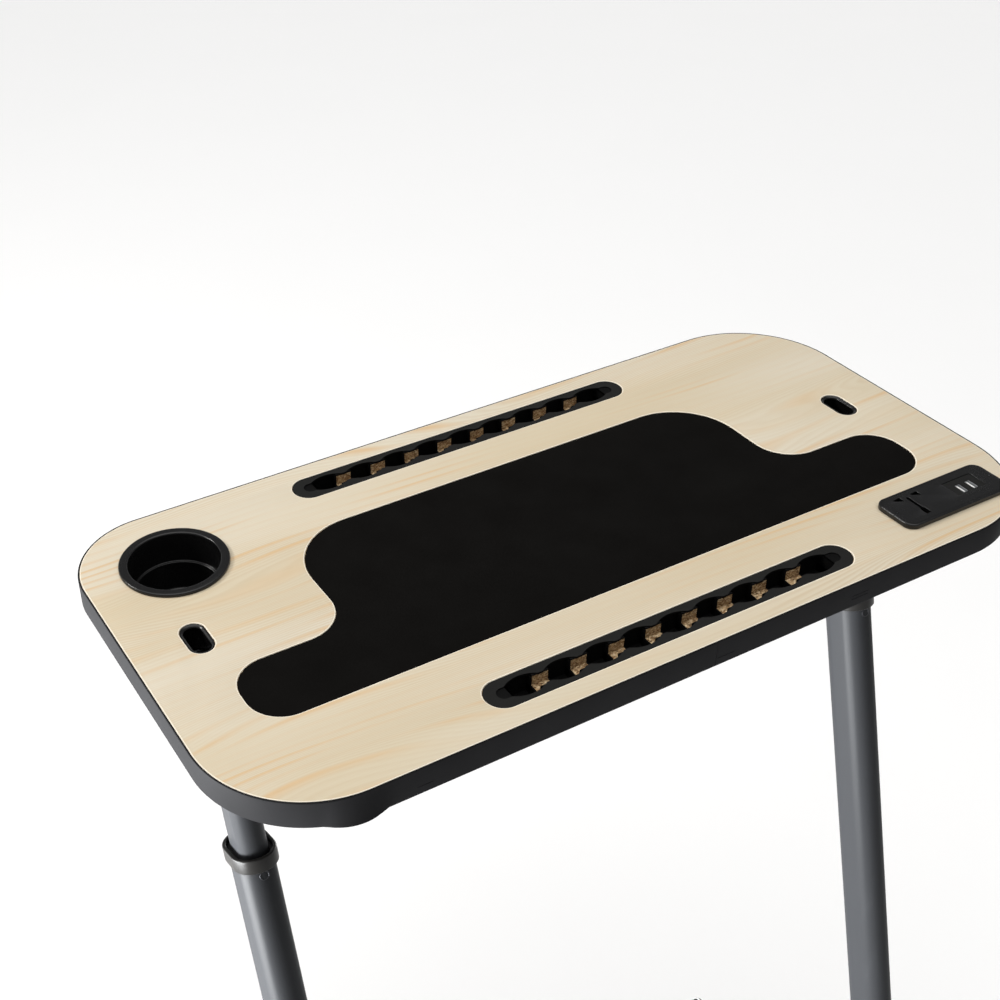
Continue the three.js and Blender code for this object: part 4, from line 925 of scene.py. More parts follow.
def slot_details(tree):
    """Two ribs over each web, a well in each pocket and a floor under each tip."""
    pitch, web, wall = tree.size("Pitch"), tree.size("Web Thickness"), tree.size("Well Wall")
    gap, rib, depth = tree.size("Well Gap"), tree.size("Rib Thickness"), tree.size("Well Depth")
    width, channel = tree.size("Well Width"), tree.size("Channel Width")
    lobes, notch = tree.size("Lobes"), tree.size("Channel Depth")
    low = -1 * tree.size("Thickness")
    half_row = lobes * pitch / 2
    end = tree.size("Opening Length") / 2 - tree.size("Tip Floor")
    outer = width + 2 * wall
    rib_width = (tree.size("Lobe Width") - channel) / 2 + 0.001
    half_rib = tree.block((web + 2 * (gap + wall), rib_width, rib),
                          (0, (channel + rib_width) / 2, low + rib / 2))
    ribs = tree.instances(tree.row(lobes - 1, pitch - half_row, pitch), tree.both(half_rib))

    index = tree.node("GeometryNodeInputIndex")
    first = index.math("LESS_THAN", index, 0.5)
    last = index.math("GREATER_THAN", index, lobes - 1.5)
    start = (1 - first) * (index * pitch - half_row + web / 2) - first * end + gap
    stop = (1 - last) * ((index + 1) * pitch - half_row - web / 2) + last * end - gap

    def spots(x):
        sockets = {"Geometry": tree.row(lobes, 0, 0.01), "Position": tree.vector(x)}
        return tree.node("GeometryNodeSetPosition", None, sockets)

    height, middle = depth + rib, low + (rib - depth) / 2
    side = tree.block((1, wall, height), (0, (width + wall) / 2, middle))
    floor = tree.block((1, outer, wall), (0, 0, low - depth + wall / 2))
    troughs = tree.instances(spots((start + stop) / 2), tree.join(tree.both(side), floor),
                             Scale=tree.vector(stop - start, 1, 1))
    sill = tree.block((wall, outer, depth - low - notch + 0.00001), (0, 0, (low - depth - notch) / 2))
    post_width = (outer - channel) / 2
    post = tree.block((wall, post_width, height), (0, (channel + post_width) / 2, middle))
    wall_end = tree.join(sill, tree.both(post))
    ends = tree.join(tree.instances(spots(start + wall / 2), wall_end),
                     tree.instances(spots(stop - wall / 2), wall_end))
    stopper = tree.block((wall, channel + 0.001, height), (end - gap - wall / 2, 0, middle))
    tip_floor = tree.size("Tip Floor") + gap + 2 * wall
    landing = tree.block((tip_floor, tree.size("Neck Width") + 2 * wall, rib),
                         (end - gap - wall + tip_floor / 2, 0, low + rib / 2))
    return tree.join(ribs, troughs, ends, tree.both(tree.join(stopper, landing)))


# %% The slots' inserts
slot_sunk, painted_shade_below = 0.3, 1.0
for slot_side, slot_y in slot_centres:
    tree = Tree(f"slot_rule_{slot_side}", slot_sizes)
    flat = slot_outline(tree)
    sockets = {"Mesh": flat, "Offset": tree.vector(0, 0, -1), "Offset Scale": tree.size("Thickness"),
               "Individual": False}
    thick = tree.node("GeometryNodeExtrudeMesh", {"mode": "FACES"}, sockets)
    plate = tree.merged(0.01 * mm, thick, flat)
    spot = tuple(on_top @ Vector((0, slot_y, -slot_sunk)))
    shape = tree.placed(tree.join(plate, slot_details(tree)), spot)
    insert = welded(tree.bake(shape, finishes["slot_plastic"]))
    piece = new_piece(f"slot_insert_{slot_side}_moulding", insert, "slot_plastic", "desktop",
                      [f"slot_insert_{slot_side}"], [finishes["slot_plastic"], finishes["slot_depths"]])
    # Faces more than a millimetre under the top get the darker second finish: painted shade in the
    # wells and the channel, not a different plastic.
    for face in insert.polygons:
        face.material_index = int(face.center.z < band_high.z - painted_shade_below * mm)
    soften(piece, 0.3)

# %% [markdown]
# ## Loose chips on the webs
# A router tears chipboard, and the torn chips stand up from the cut. They are far too many to
# place by hand: points are strewn over the raw faces that show in the slots with a fixed seed,
# and every point gets a small chip, turned and sized at random, so that the board looks raw.

# %% Chips
def raw_faces(tree):
    """The webs' tops in the channel and the upright faces beside it, to strew points on."""
    pitch, channel, depth = tree.size("Pitch"), tree.size("Channel Width"), tree.size("Face Height")
    upright = tree.grid(tree.size("Web Thickness"), depth)
    side = tree.placed(upright, tree.vector(0, channel / 2, depth / 2), (math.pi / 2, 0, 0))
    level = tree.grid(tree.size("Web Thickness"), channel)
    webs = tree.row(tree.size("Lobes") - 1, pitch - tree.size("Lobes") * pitch / 2, pitch)
    return tree.real(tree.instances(webs, tree.join(tree.both(side), level)))


chip_sizes = {"Lobes": 9, "Pitch": 36.6 * mm, "Channel Width": 13.4 * mm, "Web Thickness": 14 * mm,
              "Face Height": 8.4 * mm, "Chips per m2": 420000.0, "Chip Size": 1.4 * mm}
webs_top = -11.5
for (slot_side, slot_y), seed in zip(slot_centres, (7, 8)):
    tree = Tree(f"chip_rule_{slot_side}", {**chip_sizes, "Seed": seed})
    sockets = {"Mesh": raw_faces(tree), "Density": tree.size("Chips per m2"), "Seed": tree.size("Seed")}
    strewn = tree.node("GeometryNodeDistributePointsOnFaces", {"distribute_method": "RANDOM"}, sockets)
    chip = tree.node("GeometryNodeMeshCube", None, {"Size": (1.0, 0.42, 0.12)})
    vector_kind = {"data_type": "FLOAT_VECTOR"}
    tilt = tree.node("FunctionNodeRandomValue", vector_kind,
                     {0: (-0.35, -0.35, -3.1), 1: (0.35, 0.35, 3.1), "Seed": tree.size("Seed")})
    size = tree.node("FunctionNodeRandomValue", vector_kind,
                     {0: (0.5, 0.5, 0.5), 1: (1.3, 1.5, 1.8), "Seed": tree.size("Seed") + 3})
    sockets = {0: size, "Scale": tree.size("Chip Size")}
    scale = tree.node("ShaderNodeVectorMath", {"operation": "SCALE"}, sockets)
    lying = Signal(tree, strewn.socket.node.outputs["Rotation"])
    turned = tree.node("FunctionNodeRotateRotation", {"rotation_space": "LOCAL"},
                       {0: lying, 1: tree.node("FunctionNodeEulerToRotation", None, {0: tilt})})
    flakes = tree.instances(strewn, chip, Rotation=turned, Scale=scale)
    spot = tuple(on_top @ Vector((0, slot_y, webs_top)))
    data = tree.bake(tree.placed(flakes, spot), chipboard_finish)
    new_piece(f"torn_chips_{slot_side}", data, "chipboard", "desktop")

# %% Finishes of the frame's own nodes
kept_nodes = {"board_core": "chipboard", "power_housing": "black_plastic",
              "power_inlet": "slot_plastic", "socket_contact_left": "brass",
              "socket_contact_right": "brass", "socket_contact_earth": "brass",
              "guide_plug_left": "nylon", "guide_plug_right": "nylon"}
for name, finish in kept_nodes.items():
    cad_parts[name].data.materials.clear()
    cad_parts[name].data.materials.append(finishes[finish])
print("kept from the frame:", ", ".join(kept_nodes))

# %% [markdown]
# ## The cup holder
# The cup is one moulding with a flat flange, a wall that tapers a little and a ledge for slim
# bottles. It is round, so its section is drawn once and turned, with every corner rounded: the
# bright lines on the photographed cup are reflections in exactly these small rounds.

# %% The cup
cup_corners = [
    (0, -56.8, 0), (37.5, -56.8, 2.5), (38.0, -27.8, 0.6), (40.2, -27.8, 0.6), (41.8, 0.2, 0.15),
    (48, 0.2, 0.3), (48, 3.2, 1.5), (40, 3.2, 1.6), (38.4, -26, 0.9), (36, -26, 0.7), (35.8, -55, 3.0),
    (0, -55, 0),
]
cup = bmesh.new()
add_lathed(cup, on_top @ Matrix.Translation((cup_x, cup_y, 0)), cup_corners, 6, 128)
new_piece("cup", cup, "black_plastic", "desktop", ["cup_holder"])

# %% [markdown]
# ## The cable grommets
# Two oval grommets line the cable holes over the legs. Their lip slopes inwards, so that a cable
# is led down softly. As plates with a hole they need only an edge of several steps.

# %% Grommets
lip = [(1.4, -top_thickness), (1.4, -4.2), (2.8, -3.4), (3.05, -2.7), (2.95, -2.0), (2.5, -1.35),
       (1.7, -0.8), (1.0, -0.45), (0.6, -0.25)]
bore = [(-inset, height) for inset, height in lip]
outer = [(0, -top_thickness), (0, -0.55), (0.08, -0.35), (0.3, -0.25)]
for side_name, x in cable_centres:
    grommet = bmesh.new()
    outline = obround(21.4, 39.5, 20, x, cable_y)
    add_plate(grommet, on_top, outline, outer, [(outline, bore)])
    bmesh.ops.recalc_face_normals(grommet, faces=grommet.faces)
    new_piece(f"cable_lining_{side_name}", grommet, "black_plastic", "desktop",
              [f"cable_grommet_{side_name}"])

# %% [markdown]
# ## The power outlet
# The outlet is a separate module, screwed into its opening: a faceplate with a rounded rim and a
# fine groove inside it, the openings of a socket for several kinds of plug, and a block with two
# ports. The small parts are modelled in full, since each shows as a glint or a dark hole.

# %% The faceplate
outlet = on_top @ Matrix.Translation((outlet_x, outlet_y, 0))
socket_x, usb_x, usb_y = -32, 26.4, 1.8
wedge_y, wedge_half = 12.6, 4.3


def wedge(x):
    """A plug opening that tapers to the left."""
    corners = [(x + wedge_half, wedge_y - 3.5, 0.5), (x + wedge_half, wedge_y + 3.5, 0.5),
               (x - wedge_half, wedge_y + 2.4, 0.5), (x - wedge_half, wedge_y + 1.4, 0.4)]
    return soft_corners(corners, 3)


def earth_opening():
    """A narrow slot that widens at its near end."""
    x, narrow, wide, far, step, near = socket_x, 1.6, 2.8, 13.0, -6.0, -14.0
    corners = [(x + narrow, far, 0.5), (x - narrow, far, 0.5), (x - narrow, step, 0.3),
               (x - wide, step, 0.3), (x - wide, near, 0.5), (x + wide, near, 0.5),
               (x + wide, step, 0.3), (x + narrow, step, 0.3)]
    return soft_corners(corners, 3)


face_low, face_top, groove, screw_x = 0.2, 5, 4.72, 56
face_edge = rounded_edge(face_low, face_top, 1.5, 0.3, 6)
face_edge += [(2.1, face_top), (2.25, groove), (2.6, groove), (2.75, face_top)]
small_hole = hole_edge(face_low, face_top, 0.35)
screw_hole = [(0, face_low), (0, 3.0), (-1.3, 3.05), (-1.3, 4.8), (-1.5, face_top)]
face_holes = [(wedge(socket_x - 10), small_hole), (wedge(socket_x + 10), small_hole),
              (earth_opening(), small_hole), (rectangle(34.1, 20.6, 0.8, 4, usb_x, usb_y), small_hole)]
for x in (-screw_x, screw_x):
    face_holes.append(([(a + x, b) for a, b in ring_of_points(2.0, 24)], screw_hole))
faceplate = bmesh.new()
add_plate(faceplate, outlet, rectangle(122.5, 45.5, 10, 14), face_edge, face_holes)
new_piece("outlet_face", faceplate, "black_plastic", "desktop", ["power_faceplate"], sharp=50)

# %% The charging block
port_centres = (("left", usb_x - 6.1), ("right", usb_x + 6.1))
port_y = usb_y - 3
block_low, block_top, port_floor = -9.4, 4.6, -5.0
block = bmesh.new()
port_edge = hole_edge(block_low, block_top, 0.25)
ports = [(rectangle(5.6, 12, 0.5, 3, x, port_y), port_edge) for _, x in port_centres]
block_edge = rounded_edge(block_low, block_top, 0.4)
add_plate(block, outlet, rectangle(33.5, 20, 0.8, 4, usb_x, usb_y), block_edge, ports)
add_plate(block, outlet, rectangle(38.5, 32.4, 1, 4, usb_x, 0), rounded_edge(-2.2, -0.2, 0.2))
new_piece("charging_block", block, "slot_plastic", "desktop", ["usb_module"])
shell_edge, tongue_edge = rounded_edge(port_floor, 4.4, 0.12), rounded_edge(port_floor, 3.6, 0.25)
for side_name, x in port_centres:
    shell = bmesh.new()
    shell_hole = (rectangle(4.2, 10.6, 0.4, 3, x, port_y), shell_edge)
    add_plate(shell, outlet, rectangle(5.0, 11.4, 0.5, 3, x, port_y), shell_edge, [shell_hole])
    new_piece(f"port_shell_{side_name}", shell, "bright_steel", "desktop", [f"usb_port_{side_name}"])
    tongue = bmesh.new()
    add_plate(tongue, outlet, rectangle(2.2, 10.2, 0.3, 3, x - 0.7, port_y), tongue_edge)
    new_piece(f"port_tongue_{side_name}", tongue, "", "desktop", (), [finishes["white_plastic"]])

# %% [markdown]
# ## Screws
# A screw is made once, on the lathe, with its recess cut by a Boolean, and placed by a tree
# wherever its pattern says: a grid of points whose spacing is the pattern's size. The outlet has
# two in a row and each bracket under the top has four, so one tree serves both.

# %% A screw and its pattern
def cut_away(piece_mesh, tool_mesh):
    """The first mesh without the second, as a plain mesh."""
    whole, tool = (bpy.data.objects.new(n, m) for n, m in (("whole", piece_mesh), ("tool", tool_mesh)))
    for thing in (whole, tool):
        bpy.context.scene.collection.objects.link(thing)
    boolean = whole.modifiers.new("cut", "BOOLEAN")
    boolean.operation = "DIFFERENCE"
    boolean.solver = "EXACT"
    boolean.object = tool
    depsgraph = bpy.context.evaluated_depsgraph_get()
    result = bpy.data.meshes.new_from_object(whole.evaluated_get(depsgraph))
    bpy.data.objects.remove(whole)
    bpy.data.objects.remove(tool)
    return result


def recessed(corners, arc_steps, steps, recess, edge, name):
    """A turned solid round z with a recess in its top; recess and edge are those of a plate."""
    solid, tool = bmesh.new(), bmesh.new()
    add_lathed(solid, Matrix(), corners, arc_steps, steps)
    add_plate(tool, Matrix(), recess, edge)
    return cut_away(finished(solid, name), finished(tool, "recess"))


def hexagon(radius):
    return ring_of_points(radius, 6)


def screw_mesh(head_radius, head_height, shank_radius, length, recess):
    """A pan-head screw along -z with a cross recess; z = 0 is the top of its head."""
    corners = [(0, -length, 0), (shank_radius * 0.6, -length, 0), (shank_radius, -length + 1.5, 0),
               (shank_radius, -head_height, 0.1), (head_radius, -head_height, 0.2),
               (head_radius, 0, head_height * 0.55), (0, 0, 0)]
    arm, half = recess, recess * 0.17
    cross = [(arm, half), (half, half), (half, arm), (-half, arm), (-half, half), (-arm, half),
             (-arm, -half), (-half, -half), (-half, -arm), (half, -arm), (half, -half), (arm, -half)]
    edge = [(recess * 0.12, -head_height * 0.62), (0, 1)]
    return recessed(corners, 5, 32, cross, edge, "screw")


def screw_pattern(name, screw, length, width, columns, rows, place, material):
    """Copies of a screw on a grid of points, as one mesh in the desk's place."""
    source = bpy.data.objects.new("screw_source", screw)
    tree = Tree(name, {"Length": length * mm, "Width": width * mm, "Columns": columns, "Rows": rows,
                       "Screw": source})
    points = tree.grid(tree.size("Length"), tree.size("Width"), tree.size("Columns"), tree.size("Rows"))
    shape = tree.node("GeometryNodeObjectInfo", None, {"Object": tree.size("Screw")}, output=4)
    data = tree.bake(tree.instances(points, shape, Scale=(mm, mm, mm)), material)
    bpy.data.objects.remove(source)
    data.transform(place)
    return welded(data, 0.000001)


place = Matrix.Translation(outlet @ Vector((0, 0, face_top - 0.1)))
outlet_screw = screw_mesh(head_radius=3.0, head_height=1.7, shank_radius=1.6, length=12, recess=2.0)
data = screw_pattern("outlet_screws", outlet_screw, 2 * screw_x, 0, 2, 1, place,
                     finishes["bright_steel"])
new_piece("outlet_screws", data, "bright_steel", "desktop", ["power_screw_left", "power_screw_right"])

# %% [markdown]
# ## The legs
# Each leg is two oval steel tubes, one sliding in the other, that lean away from the user. A
# glossy collar closes the outer tube, a dark bush guides the inner one, and a screw just below
# the collar clamps the height. They are drawn upright along the leg's own axis and leaned by one
# matrix, so the tubes, the bush and the collar share their middle line.

# %% Leg axes
lean = math.radians(-16.3)
leg_y, leg_x = 11.69, 338
inner_width, inner_length = 27, 43
outer_width, outer_length = 34, 50
desk_height, foot_top = 1120, 94
leg_run = (desk_height - top_thickness - foot_top) / math.cos(lean)
collar_top, collar_low = -172, -185.5
clamp_height = -191


def leg_place(side):
    """The leg's own axes in metres: z = 0 where its middle line meets the top's underside."""
    at_top = Matrix.Translation((side * leg_x, leg_y, -top_thickness))
    return on_top @ at_top @ Matrix.Rotation(lean, 4, "X")


def add_tube(mesh, place, width, length, wall, low, high, soft=0.3):
    """An oval tube with slightly rounded rims."""
    edge = rounded_edge(low, high, soft, soft, 2)
    bore = (obround(width - 2 * wall, length - 2 * wall, 20), edge)
    add_plate(mesh, place, obround(width, length, 20), edge, [bore])


def shear(mesh, place, low_plane=None, high_plane=None):
    """Cuts a mesh with level planes, given as heights in the desk's own axes, and closes it."""
    for height, outside in ((low_plane, -1), (high_plane, 1)):
        if height is None:
            continue
        spot = place @ Vector((0, 0, height))
        everything = mesh.verts[:] + mesh.edges[:] + mesh.faces[:]
        cut = bmesh.ops.bisect_plane(mesh, geom=everything, plane_co=spot, plane_no=(0, 0, outside),
                                     clear_outer=True)
        rim = [e for e in cut["geom_cut"] if isinstance(e, bmesh.types.BMEdge)]
        bmesh.ops.triangle_fill(mesh, edges=rim, use_beauty=True, normal=(0, 0, outside))


# %% Tubes, bushes and collars
for side_name, side in sides:
    leg = leg_place(side)
    inner = bmesh.new()
    add_tube(inner, leg, inner_width, inner_length, 1.5, -420, 25)
    shear(inner, on_top, high_plane=-29.4)
    new_piece(f"inner_leg_{side_name}", inner, "grey_paint", "desktop", [f"inner_tube_{side_name}"])
    outer = bmesh.new()
    add_tube(outer, leg, outer_width, outer_length, 2, -leg_run - 40, -178.4)
    shear(outer, on_floor, low_plane=foot_top + 0.2)
    new_piece(f"outer_leg_{side_name}", outer, "grey_paint", "base", [f"outer_tube_{side_name}"])
    collar = bmesh.new()
    collar_edge = rounded_edge(collar_low, collar_top, 1.1, 0.8, 5)
    hole_rim = rounded_edge(collar_low, collar_top, 0.7, 0.2, 4)
    collar_hole = (obround(outer_width + 0.6, outer_length + 0.6, 24), hole_rim)
    add_plate(collar, leg, obround(41, 57, 28), collar_edge, [collar_hole])
    new_piece(f"collar_{side_name}", collar, "collar_plastic", "base", [f"tube_collar_{side_name}"])
    bush = bmesh.new()
    bore = obround(inner_width + 0.6, inner_length + 0.6, 24)
    sleeve, rim = rounded_edge(-236, -178.2, 0), rounded_edge(-178, -176, 0.6)
    flange = rounded_edge(-178, -176, 0.5)
    add_plate(bush, leg, obround(29.4, 45.4, 24), sleeve, [(bore, sleeve)])
    add_plate(bush, leg, obround(outer_width, outer_length, 24), flange, [(bore, rim)])
    new_piece(f"bush_{side_name}", bush, "nylon", "base", [f"tube_bush_{side_name}"])

# %% [markdown]
# ## The clamp screws
# Under each collar, on the tube's round near side, sits a short screw with a hexagon socket in a
# threaded insert. It shows as a small dark hole with a fine rim, so both are modelled: the
# insert's rim rides on the base and the screw turns on its own.

# %% Clamp screws
def out_of_leg(side, depth):
    """Axes whose z points out of the near side of the outer tube, where the clamp screw sits."""
    return leg_place(side) @ Matrix.Translation((0, -depth, clamp_height)) @ z_to_near


insert_rim = [(3.3, -2.5), (4.6, -2.5), (4.6, 0.1), (4.3, 0.45), (3.9, 0.55), (3.5, 0.35), (3.3, 0.0)]
set_screw = [(0, -2.6, 0), (3, -2.6, 0), (3, 0, 0.4), (0, 0, 0)]
for side_name, side in sides:
    insert = bmesh.new()
    add_turned(insert, out_of_leg(side, 24.6), insert_rim, 40)
    new_piece(f"clamp_insert_{side_name}", insert, "dark_steel", "base")
    data = recessed(set_screw, 4, 32, hexagon(1.75), [(0, -1.5), (0, 1)], "set_screw")
    data.transform(out_of_leg(side, 24.4))
    new_piece(f"set_screw_{side_name}", data, "dark_steel", f"clamp_screw_{side_name}",
              [f"clamp_screw_{side_name}"])

# %% [markdown]
# ## Welds
# The steel parts are welded where a sleeve or a pipe meets a plate. A weld is a bead that runs
# along the seam and swells with every drop, so it is a round section carried along a closed path
# while its radius ripples. The same helper serves the brackets, the feet and the cross tube.

# %% A bead of weld
def add_bead(mesh, path, radius, drops):
    """A rippled round bead along a closed path of points in metres."""
    sections, count, steps = [], len(path), 8
    for index, here in enumerate(path):
        along = (path[(index + 1) % count] - path[index - 1]).normalized()
        side = along.orthogonal().normalized()
        up = along.cross(side)
        swell = radius * mm * (1 + 0.13 * abs(math.sin(math.pi * drops * index / count)))
        ring = ring_of_points(1, steps)
        sections.append([mesh.verts.new(here + swell * (a * side + b * up)) for a, b in ring])
    for index, one in enumerate(sections):
        two = sections[(index + 1) % count]
        shift = min(range(steps), key=lambda s: (two[s].co - one[0].co).length)
        for step in range(steps):
            after = step + 1
            corners = (one[step], one[after % steps],
                       two[(after + shift) % steps], two[(step + shift) % steps])
            mesh.faces.new(corners).smooth = True


def even_path(points, spacing=0.7):
    """The closed outline with points evenly spaced, in its own units."""
    result = []
    for index, here in enumerate(points):
        one, two = Vector(points[index - 1]), Vector(here)
        count = max(1, round((two - one).length / spacing))
        result += [one.lerp(two, step / count) for step in range(count)]
    return result


def seam_on(place, outline, height_at):
    """The path where a slanted sleeve meets a surface, given as a level for each x and y.

    Each point slides along the sleeve to the level below it; three slides settle it.
    """
    path = []
    down = place @ Vector((0, 0, 1)) - place @ Vector((0, 0, 0))
    for a, b in even_path(outline):
        spot = place @ Vector((a, b, 0))
        for _ in range(3):
            spot = spot + down * ((height_at(spot) - spot.z) / down.z)
        path.append(spot)
    return path


# %% [markdown]
# ## The brackets
# Under the top each leg ends in a steel bracket: a plate with four screws and a sleeve that leans
# with the leg. The plate's rim is pressed round, and the sleeve is welded on from below.

# %% Brackets
plate_low, plate_top = -29.2, -25.2
bracket_bottom = (on_top @ Vector((0, 0, plate_low))).z
for side_name, side in sides:
    leg = leg_place(side)
    bracket = bmesh.new()
    level = on_top @ Matrix.Translation((side * leg_x, leg_y, 0))
    passage = (obround(23.6, 41.4, 20, 0, 0.6), [(0, plate_low), (0, plate_top)])
    plate_edge = rounded_edge(plate_low, plate_top, 0.4, 1.4, 5)
    add_plate(bracket, level, rectangle(90, 110, 12, 10), plate_edge, [passage])
    add_tube(bracket, leg, 33.6, 49.6, 2.9, -38, 12)
    shear(bracket, on_top, high_plane=-28.6)
    seam = seam_on(leg, obround(33.8, 49.8, 24), lambda spot: bracket_bottom)
    add_bead(bracket, seam, radius=1.5, drops=46)
    new_piece(f"bracket_{side_name}", bracket, "dark_steel", "desktop", [f"top_bracket_{side_name}"])
    flipped = Matrix.Translation(level @ Vector((0, 0, -31.6))) @ Matrix.Rotation(math.pi, 4, "X")
    bracket_screw = screw_mesh(head_radius=4.6, head_height=2.6, shank_radius=2.3, length=14,
                               recess=3.0)
    data = screw_pattern(f"bracket_screws_{side_name}", bracket_screw, 62, 82, 2, 2, flipped,
                         finishes["bright_steel"])
    new_piece(f"bracket_screws_{side_name}", data, "bright_steel", "desktop")

# %% [markdown]
# ## The feet
# A foot is a flat oval tube along y, closed by two caps, with a sleeve that takes the leg. The
# seam's weld has to follow both the slanted sleeve and the tube's round back, so its path is
# found point by point: each point slides down the sleeve until it meets the tube.

# %% Feet and caps
foot_rear, foot_front = -360, 100
foot_width, foot_height = 50, 30
foot_middle = foot_top - foot_height / 2
cap_thickness, foot_wall = 5, 2


def along_foot(side, y):
    """Axes at a foot's middle line whose z points to the rear."""
    return on_floor @ Matrix.Translation((side * leg_x, y, foot_middle)) @ z_to_near


def foot_back(spot):
    """The height of the foot's upper surface over a point, in metres."""
    across = abs(abs((on_floor.inverted() @ spot).x) - leg_x)
    radius = foot_height / 2
    on_round = max(0, min(across, foot_width / 2 - 0.1) - (foot_width / 2 - radius))
    return (foot_middle + math.sqrt(radius * radius - on_round * on_round)) * mm


for side_name, side in sides:
    leg = leg_place(side)
    foot = bmesh.new()
    rim = rounded_edge(cap_thickness, foot_front - foot_rear - cap_thickness, 0.4, 0.4, 2)
    bore = obround(foot_width - 2 * foot_wall, foot_height - 2 * foot_wall, 24)
    outline = obround(foot_width, foot_height, 24)
    add_plate(foot, along_foot(side, foot_front), outline, rim, [(bore, rim)])
    add_tube(foot, leg, 40.6, 56.6, 3, -leg_run - 40, 90 - leg_run, 0.8)
    shear(foot, on_floor, low_plane=84)
    add_bead(foot, seam_on(leg, obround(40.8, 56.8, 24), foot_back), radius=1.8, drops=52)
    new_piece(f"foot_tube_{side_name}", foot, "grey_paint", "base", [f"foot_{side_name}"])
    for end_name, y, turn in (("rear", foot_rear, math.pi), ("front", foot_front, 0)):
        cap = bmesh.new()
        place = along_foot(side, y) @ Matrix.Rotation(turn, 4, "Y")
        face = [(4.2, 0.6), (3.2, 0.6), (2.6, 0), (1.6, 0), (0.5, 0.3), (0.1, 0.9), (0, 1.6), (0, 4.8)]
        add_plate(cap, place, outline, face)
        add_plate(cap, place, obround(45.4, 25.4, 24), rounded_edge(4.2, 18, 1.0))
        bmesh.ops.recalc_face_normals(cap, faces=cap.faces)
        name = f"foot_cap_{side_name}_{end_name}"
        new_piece(f"{name}_moulding", cap, "black_plastic", "base", [name])

# %% [markdown]
# ## The cross tube
# A round tube joins the feet low down, from sleeve to sleeve. Its end plates are bolted to the
# sleeves with button-head bolts and hexagon nuts. A bolt and its nut are one source mesh, and the
# tree that placed the screws places them too.

# %% Cross tube and bolts
joint = Matrix.Translation((0, 0, 45 - leg_run))
sleeve_face, end_plate = 20.5, 4
across = leg_place(0) @ joint @ z_to_right
reach = leg_x - sleeve_face
cross = bmesh.new()
pipe = [(14.4, 3 - reach), (16, 3 - reach), (16, reach - 3), (14.4, reach - 3)]
add_turned(cross, across, pipe, 48)
for side in (-1, 1):
    low, high = sorted((side * reach, side * (reach - end_plate)))
    hole = (ring_of_points(12.8, 32), [(0, low), (0, high)])
    add_plate(cross, across, rectangle(76, 40, 8, 8), rounded_edge(low, high, 0.5, 0.5, 3), [hole])
    seam_z = side * (reach - end_plate - 0.2)
    seam = [across @ Vector((x, y, seam_z)) for x, y in ring_of_points(16.3, 150)]
    add_bead(cross, seam, radius=1.5, drops=30)
new_piece("cross_pipe", cross, "grey_paint", "base", ["cross_tube"])


def bolt_mesh():
    """A button-head bolt along -z with its nut; z = 0 is the seat of the head."""
    head = [(0, -29.8, 0), (3.4, -29.8, 0), (4, -29.2, 0), (4, 0.1, 0), (7, 0.1, 0.3), (6.9, 1.4, 0.8),
            (4.6, 4.4, 1.6), (0, 4.5, 0)]
    shaped = bmesh.new()
    shaped.from_mesh(recessed(head, 5, 40, hexagon(2.6), [(0.3, 1.8), (0, 2.2), (0, 6)], "bolt"))
    nut_edge = [(0.9, -30.4), (0, -29.9), (0, -24.9), (0.9, -24.4)]
    add_plate(shaped, Matrix(), hexagon(7.0), nut_edge)
    return finished(shaped, "bolt_and_nut")


for side_name, side in sides:
    outwards = leg_place(side) @ joint @ Matrix.Rotation(side * math.pi / 2, 4, "Y")
    place = outwards @ Matrix.Translation((0, 0, sleeve_face)) @ from_metres
    data = screw_pattern(f"frame_bolts_{side_name}", bolt_mesh(), 50, 0, 2, 1, place,
                         finishes["dark_steel"])
    new_piece(f"frame_bolts_{side_name}", data, "dark_steel", "base")

# %% [markdown]
# ## The casters
# Four casters carry the desk. Each has a stem riveted to a fork, a wheel on an axle and, at the
# rear, a brake pedal. The fork trails behind its stem, so the wheel is off the swivel axis. All
# four are the same drawing in four places, each piece on a body of its own, so that it can turn.

# %% The wheel's rule
def wheel_ribs(name, ribs, place):
    """Thin ribs round the hub, one instance for each point of a circle."""
    tree = Tree(name, {"Ribs": ribs, "Hub": 7 * mm, "Rim": 21 * mm, "Height": 13 * mm,
                       "Thickness": 1.6 * mm})
    hub, rim = tree.size("Hub"), tree.size("Rim")
    rib = tree.block((rim - hub, tree.size("Thickness"), tree.size("Height")), ((rim + hub) / 2, 0, 0))
    points = tree.row(tree.size("Ribs"), 0, 0)
    index = tree.node("GeometryNodeInputIndex")
    angle = 2 * math.pi * index / tree.size("Ribs")
    turn = tree.node("FunctionNodeEulerToRotation", None, {0: tree.vector(0, 0, angle)})
    data = tree.bake(tree.instances(points, rib, Rotation=turn), finishes["nylon"])
    data.transform(place)
    return data


# %% Casters
axle_y, axle_z = 22, 25
pin_y, pin_z, pin_length = 34, 52, 13.6
fork_inside, cheek_thickness = 11.2, 2.5
pedal_half = 10.8
side_on = Matrix(((0, 0, 1, 0), (1, 0, 0, 0), (0, 1, 0, 0), (0, 0, 0, 1)))


def arc_points(y, z, radius, start, stop, steps):
    """Points on a circle round (y, z), from the start angle to the stop angle in degrees."""
    angles = [math.radians(start + (stop - start) * i / steps) for i in range(steps + 1)]
    return [(y + radius * math.cos(a), z + radius * math.sin(a)) for a in angles]


